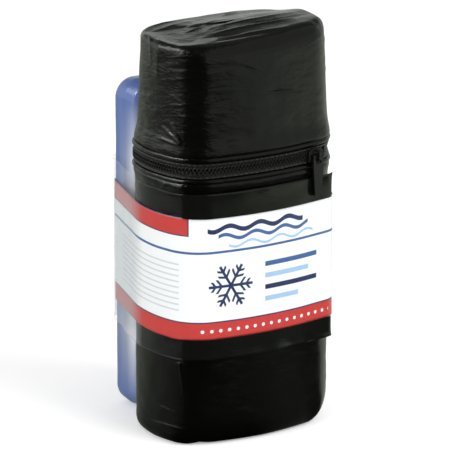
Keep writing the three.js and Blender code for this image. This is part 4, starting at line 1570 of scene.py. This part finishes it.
def make_plug(material):
    """A dished plug with a rounded rim, turned round its own axis: each row is a ring."""
    radii, rises = PLUG_SECTION.T
    radii = radii / radii.max() * PLUG_RADIUS
    rises = rises / -rises.min() * PLUG_HEIGHT
    angles = np.arange(65) / 64 * 4 * QUARTER
    x = PACK_MIDDLE[0] + radii[:, None] * np.cos(angles[:-1])
    y = PACK_MIDDLE[1] + radii[:, None] * np.sin(angles[:-1])
    z = np.broadcast_to(PACK_HIGH[2] + rises[:, None], x.shape)
    grid = np.stack([x, y, z], axis=-1)
    poles = [(*PACK_MIDDLE[:2], height) for height in z[[0, -1], 0]]
    us, vs = angles * DISH_RADIUS, run_lengths(radii, rises)
    return grid_piece("filling_plug", grid, material, us, vs, poles)


blue = blue_plastic()
bottle = cut_filling_hole(make_bottle(blue), blue)
given(bottle, "ice_pack", "pack_plastic", "ice_pack_shell")
given(make_plug(blue), "ice_pack", "pack_plastic", "ice_pack_plug")

# %% [markdown]
# ## The printed band and the clear sleeve
# Film drawn tight round the case and the pack takes the shortest loop round both. Such a loop
# touches, in each direction, the point that lies furthest that way. So the loop is found by asking
# for that point in many directions, and then walked at even steps. Its own length is the width that
# the film was cut to. A fold, from when the film lay flat, stands off at the right-hand corner.

# %% Loops of film
FOLD_STAND = 2.1 * mm
FILM = 0.3 * mm
PACK_BACK = PACK_HIGH[1]
fold_start = ARC_ENDS[6]
fold_end = ARC_ENDS[7]


def film_loop(offset, columns):
    """Points, outward directions and distances round the film, from the middle of the back."""
    places = np.linspace(0, OUTLINE, 3000, endpoint=False)
    points, outwards = outline(places)
    share = np.clip((places - fold_start) / (fold_end - fold_start), 0, 1)
    stand = offset + FOLD_STAND * np.sin(np.pi * share) ** 2
    turn = np.linspace(0, 1, 120) * QUARTER
    reach = PACK_EDGE + offset
    corner = np.stack([
        PACK_HALF[0] - PACK_EDGE + reach * np.cos(turn),
        PACK_BACK - PACK_EDGE + reach * np.sin(turn),
    ], axis=-1)
    cloud = np.concatenate([points + stand[:, None] * outwards, corner, corner * (-1, 1)])
    ways = QUARTER + np.linspace(0.0005, 4 * QUARTER - 0.0005, 7000)
    furthest = np.argmax(cloud @ np.stack([np.cos(ways), np.sin(ways)]), axis=0)
    changes = np.flatnonzero(np.diff(furthest, prepend=-1))
    middle = np.array([[0, PACK_BACK + offset]])
    tight = np.concatenate([middle, cloud[furthest[changes]], middle])
    walked = run_lengths(*tight.T)
    distances = np.linspace(0, walked[-1], columns + 1)
    even = np.stack([np.interp(distances, walked, tight[:, axis]) for axis in (0, 1)], axis=-1)
    along = np.roll(even[:-1], -1, axis=0) - np.roll(even[:-1], 1, axis=0)
    along = unit(along)
    return (even[:-1], np.stack([along[:, 1], -along[:, 0]], axis=-1)), distances


def walked_to(film, distances, pixel_x, height):
    """The distance round a film at which the camera sees it in a given column of the photograph."""
    points, outwards = film
    seen = outwards @ TOWARDS_CAMERA[:2] > 0.05
    x, _ = photo_pixels(np.concatenate([points, np.full((len(points), 1), height)], axis=-1))
    return float(np.interp(pixel_x, x[seen], distances[:-1][seen]))


# %% [markdown]
# ## The band's print
# The print is drawn with distances on the film itself. A white ground carries a red block on the
# pack's side, thin grey rules and a blue line, three cool waves, a plain snowflake with bars, and a
# red stripe with a dark hairline over it and a row of dots.

# %% Printed film
BAND_HEIGHT = 55.6 * mm
BAND_BOTTOM = 49.4 * mm
SLEEVE_BOTTOM = 40.5 * mm
SLEEVE_TOP = 116 * mm
WHITE = (0.88, 0.91, 0.91)
RED = (0.55, 0.035, 0.03)
NAVY = (0.015, 0.03, 0.11)
LINE_BLUE = (0.045, 0.12, 0.32)
PALE_BLUE = (0.35, 0.55, 0.78)
PALE_GREY = (0.55, 0.57, 0.6)

# The layout in millimetres: heights above the band's lower edge, and distances past the near corner.
# Only BLOCK_START counts from the middle of the back. A branch has its start and length as shares of
# the flake's reach.
WAVES = ((50.2, NAVY), (46.4, LINE_BLUE), (42.6, PALE_BLUE))
WAVE_LENGTH = 15
BARS = ((31.5, 29, LINE_BLUE), (26.2, 24, PALE_BLUE), (20.9, 29, NAVY), (15.6, 18, PALE_BLUE))
BARS_START = 36
BRANCH_SHARES = ((0.42, 0.3), (0.7, 0.22))
FLAKE_PLACE = (19, 24)
FLAKE_REACH = 10.5
ARM_HALF = 0.62
RULES_PITCH = 2.6
RULES = (12, 36)
BLUE_LINE = (39.2, 40.3)
BLOCK_START = 20
BLOCK = (47.2, 56)
BLOCK_RED = (47.7, 55.2)
HAIRLINE_TOP = 8.3
STRIPE_TOP = 7.7
DOT_PITCH = 4.2
DOT_HEIGHT = 3.9


def snowflake(u, v, reach):
    """1 on a six-armed flake: the angle is folded into one twelfth, where a bar lies along the arm
    and two slanted bars branch from it."""
    angle = v.maths("ARCTAN2", v, u)
    radius = (u * u + v * v).named("sqrt")
    folded = angle.maths("FLOORED_MODULO", angle + math.pi / 6, math.pi / 3) - math.pi / 6
    along = radius * folded.named("cosine")
    aside = (radius * folded.named("sine")).named("absolute")
    mask = (aside < ARM_HALF) * (along < reach)
    for start, length in BRANCH_SHARES:
        slant = ((along - start * reach) * 0.8 - aside * 0.6).named("absolute") < 0.5
        mask = mask.named("maximum", slant * (aside < length * reach) * (radius < reach))
    return mask


def printed_band_film(places):
    """The print. places says in millimetres how far round the film the pack's side begins, the red
    block ends, and the front's near corner and right-hand edge lie. Each wave is a sine of the
    distance, and each shape is a mask that mixes its ink over what is there."""
    finish = Finish("printed_band_film", WHITE, 0.38, {"Coat Weight": 0.35, "Coat Roughness": 0.12})
    u, v, _ = finish.split(finish.place("UV"))
    color = finish.mix(finish.noise(finish.place(), 3, 3), WHITE, tuple(0.96 * part for part in WHITE))
    corner, right = places["corner"], places["right"]
    front = u.inside(corner + 3, right + 4)
    for row, (height, ink) in enumerate(WAVES):
        wave = (u * (2 * math.pi / WAVE_LENGTH) + row * 0.9).named("sine") * 1.1 + height
        span = u.inside(corner + 8 + 5 * row, right - 12 + 3 * row)
        mask = ((v - wave).named("absolute") < 1.05 - 0.25 * row) * span
        color = finish.mix(mask, color, ink)
    flake = snowflake(u - (corner + FLAKE_PLACE[0]), v - FLAKE_PLACE[1], FLAKE_REACH)
    color = finish.mix(flake * front, color, NAVY)
    start = corner + BARS_START
    for height, length, ink in BARS:
        bar = u.inside(start, start + length) * v.inside(height - 1.1, height + 1.1)
        color = finish.mix(bar, color, ink)
    rules = (v.maths("FLOORED_MODULO", v, RULES_PITCH) < 0.75) * v.inside(*RULES)
    rules = rules * u.inside(places["pack"] + 4, corner - 5)
    color = finish.mix(rules * 0.7, color, PALE_GREY)
    color = finish.mix(v.inside(*BLUE_LINE), color, LINE_BLUE)
    block = v.inside(*BLOCK) * u.inside(BLOCK_START, places["block"])
    color = finish.mix(block, color, NAVY)
    inner = v.inside(*BLOCK_RED) * u.inside(BLOCK_START, places["block"] - 0.5)
    color = finish.mix(inner, color, RED)
    color = finish.mix(v.inside(-1, HAIRLINE_TOP), color, NAVY)
    color = finish.mix(v.inside(-1, STRIPE_TOP), color, RED)
    dot_u, dot_v = u.maths("FLOORED_MODULO", u, DOT_PITCH) - DOT_PITCH / 2, v - DOT_HEIGHT
    dot = (dot_u * dot_u + dot_v * dot_v) < 0.62
    color = finish.mix(dot * front, color, WHITE)
    finish.feed("Base Color", color)
    ripple = finish.noise(finish.stretched(finish.place(), 1, 1, 0.35), 9, 2)
    finish.feed("Normal", finish.bump(ripple, 0.0004))
    return finish.material


def clear_film(places):
    """Clear film: nearly invisible, whiter at its cut edges and in its creases, and printed black above
    and below the band on the front. Where it spans free air beside the case it is whitest: a painted
    sheen for the light the film reflects there, less of it above the band."""
    finish = Finish("clear_film", (0.9, 0.92, 0.94), 0.14)
    u, v, _ = finish.split(finish.place("UV"))
    top = (SLEEVE_TOP - SLEEVE_BOTTOM) / mm
    band_low = (BAND_BOTTOM - SLEEVE_BOTTOM) / mm
    band_high = (BAND_BOTTOM + BAND_HEIGHT - SLEEVE_BOTTOM) / mm
    margin = u.inside(places["seam"], places["fold"]) * (1 - v.inside(band_low + 0.3, band_high - 0.3))
    margin = margin * v.inside(-1, top + 1)
    edge = 1 - v.inside(0.45, top - 0.5)
    crease = finish.creases(finish.stretched(finish.place(), 1, 1, 2), 16, 3, 1.0)
    # Painted reflection: where the film spans free air beside the case, a white tint stands for the light
    # it reflects
    free = ((places["case"] - u) / 16).named("maximum", 0).named("minimum", 1)
    above = v.rise(band_high - 1, band_high + 1)
    # Whiteness of the film: painted sheen over the free span, plus whitening at the cut edges and in the
    # creases
    haze_and_painted_sheen = 0.002 + free * (0.2 - above * 0.12) + (edge * 0.07 + crease * 0.012) * (free * 0.7 + 0.3)
    finish.feed("Base Color", finish.mix(margin, (0.75, 0.78, 0.83), (0.0045, 0.005, 0.0038)))
    finish.feed("Alpha", haze_and_painted_sheen.named("maximum", margin).named("minimum", 1))
    finish.feed("Normal", finish.bump(crease * (1 - margin * 0.8), 0.00012))
    return finish.material


band_loop, band_walk = film_loop(FILM * 1.5, 420)
sleeve_loop, sleeve_walk = film_loop(FILM * 3.5, 560)
middle_height = BAND_BOTTOM + BAND_HEIGHT / 2
print("band round:", round(band_walk[-1] / mm, 1), "sleeve round:", round(sleeve_walk[-1] / mm, 1))

# Columns of the photograph where the camera sees the red block's end, the near corner, the front's
# right-hand edge and the pack's side on the band, and the side seam, the case's side and the fold on
# the sleeve
BAND_PIXELS = {"block": 189.4, "corner": 190, "right": 322, "pack": 120}
SLEEVE_PIXELS = {"seam": 183, "case": 143, "fold": 331}


def places_along(film, distances, pixels):
    """How far round a film each of some columns of the photograph lies, in millimetres."""
    found = {name: walked_to(film, distances, pixel, middle_height) for name, pixel in pixels.items()}
    return {name: distance / mm for name, distance in found.items()}


band_places = places_along(band_loop, band_walk, BAND_PIXELS)
sleeve_places = places_along(sleeve_loop, sleeve_walk, SLEEVE_PIXELS)
print("places on the band:", {name: round(value, 1) for name, value in band_places.items()})
print("places on the sleeve:", {name: round(value, 1) for name, value in sleeve_places.items()})


# %% Band and sleeve
FILM_WALL = 0.12 * mm

# Height of the relief and spacing of its waves, for the band, the sleeve and the sleeve's edges
BAND_WAVES = (0.1 * mm, 24 * mm)
SLEEVE_WAVES = (0.08 * mm, 20 * mm)
EDGE_WAVES = (0.45 * mm, 15 * mm)
EDGE_FADE = 4 * mm


def film_piece(name, film, distances, bottom, height, rows, relief, material):
    """A tight sheet with its relief along the outward directions, given a thin wall."""
    heights = bottom + np.linspace(0, 1, rows) * height
    grid = rows_of(film, 0.0, heights)
    outwards = np.insert(film[1], 2, 0, axis=1)
    grid = grid + relief(grid, heights)[..., None] * outwards[None]
    quads = faces_of(rows, grid.shape[1], False, True).tolist()
    uvs = face_uvs(distances, heights - bottom)
    sheet = make_piece(name, grid.reshape(-1, 3), quads, material, uvs)
    wall = sheet.modifiers.new("wall", "SOLIDIFY")
    wall.thickness = FILM_WALL
    wall.offset = 0
    return applied(sheet)


def slow_waves(grid, waves, seed):
    """A relief of slow waves, no higher or lower than its height."""
    height, size = waves
    return height * np.clip(dents(grid, size, seed), -1, 1)


def band_relief(grid, heights):
    """The band lies close, with slow waves only."""
    return slow_waves(grid, BAND_WAVES, 51)


def sleeve_relief(grid, heights):
    """The sleeve stands a little further off at its two edges, in waves that fade exponentially."""
    from_edge = np.minimum(heights - SLEEVE_BOTTOM, SLEEVE_TOP - heights)[:, None]
    rise, size = EDGE_WAVES
    flutter = rise * (1 + dents(grid, size, 52)) * np.exp(-from_edge / EDGE_FADE)
    return flutter + slow_waves(grid, SLEEVE_WAVES, 53)


band = film_piece(
    "printed_band_sheet", band_loop, band_walk, BAND_BOTTOM, BAND_HEIGHT, 57, band_relief,
    printed_band_film(band_places))
given(band, "case_body", "printed_film", "printed_band")
sleeve = film_piece(
    "clear_sleeve_sheet", sleeve_loop, sleeve_walk, SLEEVE_BOTTOM, SLEEVE_TOP - SLEEVE_BOTTOM, 76,
    sleeve_relief, clear_film(sleeve_places))
given(sleeve, "case_body", "clear_film", "clear_sleeve")

# %% [markdown]
# ## Finishes of the rigid solids
# The slider, its pull, the four stops, the base board and the gel keep the solid model's shape. On
# the slider and the pull, Weld joins loose triangles and Bevel softens the edges, so that they catch
# the light as cast metal does.

# %% Carried-over solids
WELD_DISTANCE = 0.001 * mm
BEVEL_WIDTH = 0.18 * mm

enamel = black_enamel()
cast_parts = ["zip_slider", "zip_pull_tab"]
for name in cast_parts:
    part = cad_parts[name]
    weld = part.modifiers.new("weld", "WELD")
    weld.merge_threshold = WELD_DISTANCE
    bevel = part.modifiers.new("bevel", "BEVEL")
    bevel.width = BEVEL_WIDTH
    bevel.segments = 2
    bevel.limit_method = "ANGLE"

stops = [word + end + "_stop" for word in zip_words for end in ("_back", "_front")]
finishes = dict.fromkeys(cast_parts + stops, enamel)
finishes["base_board"] = stiff_board()
finishes["ice_pack_gel"] = cooling_gel()
for name, material in finishes.items():
    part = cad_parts[name]
    part.data.materials.clear()
    part.data.materials.append(material)
print("carried over:", ", ".join(finishes))
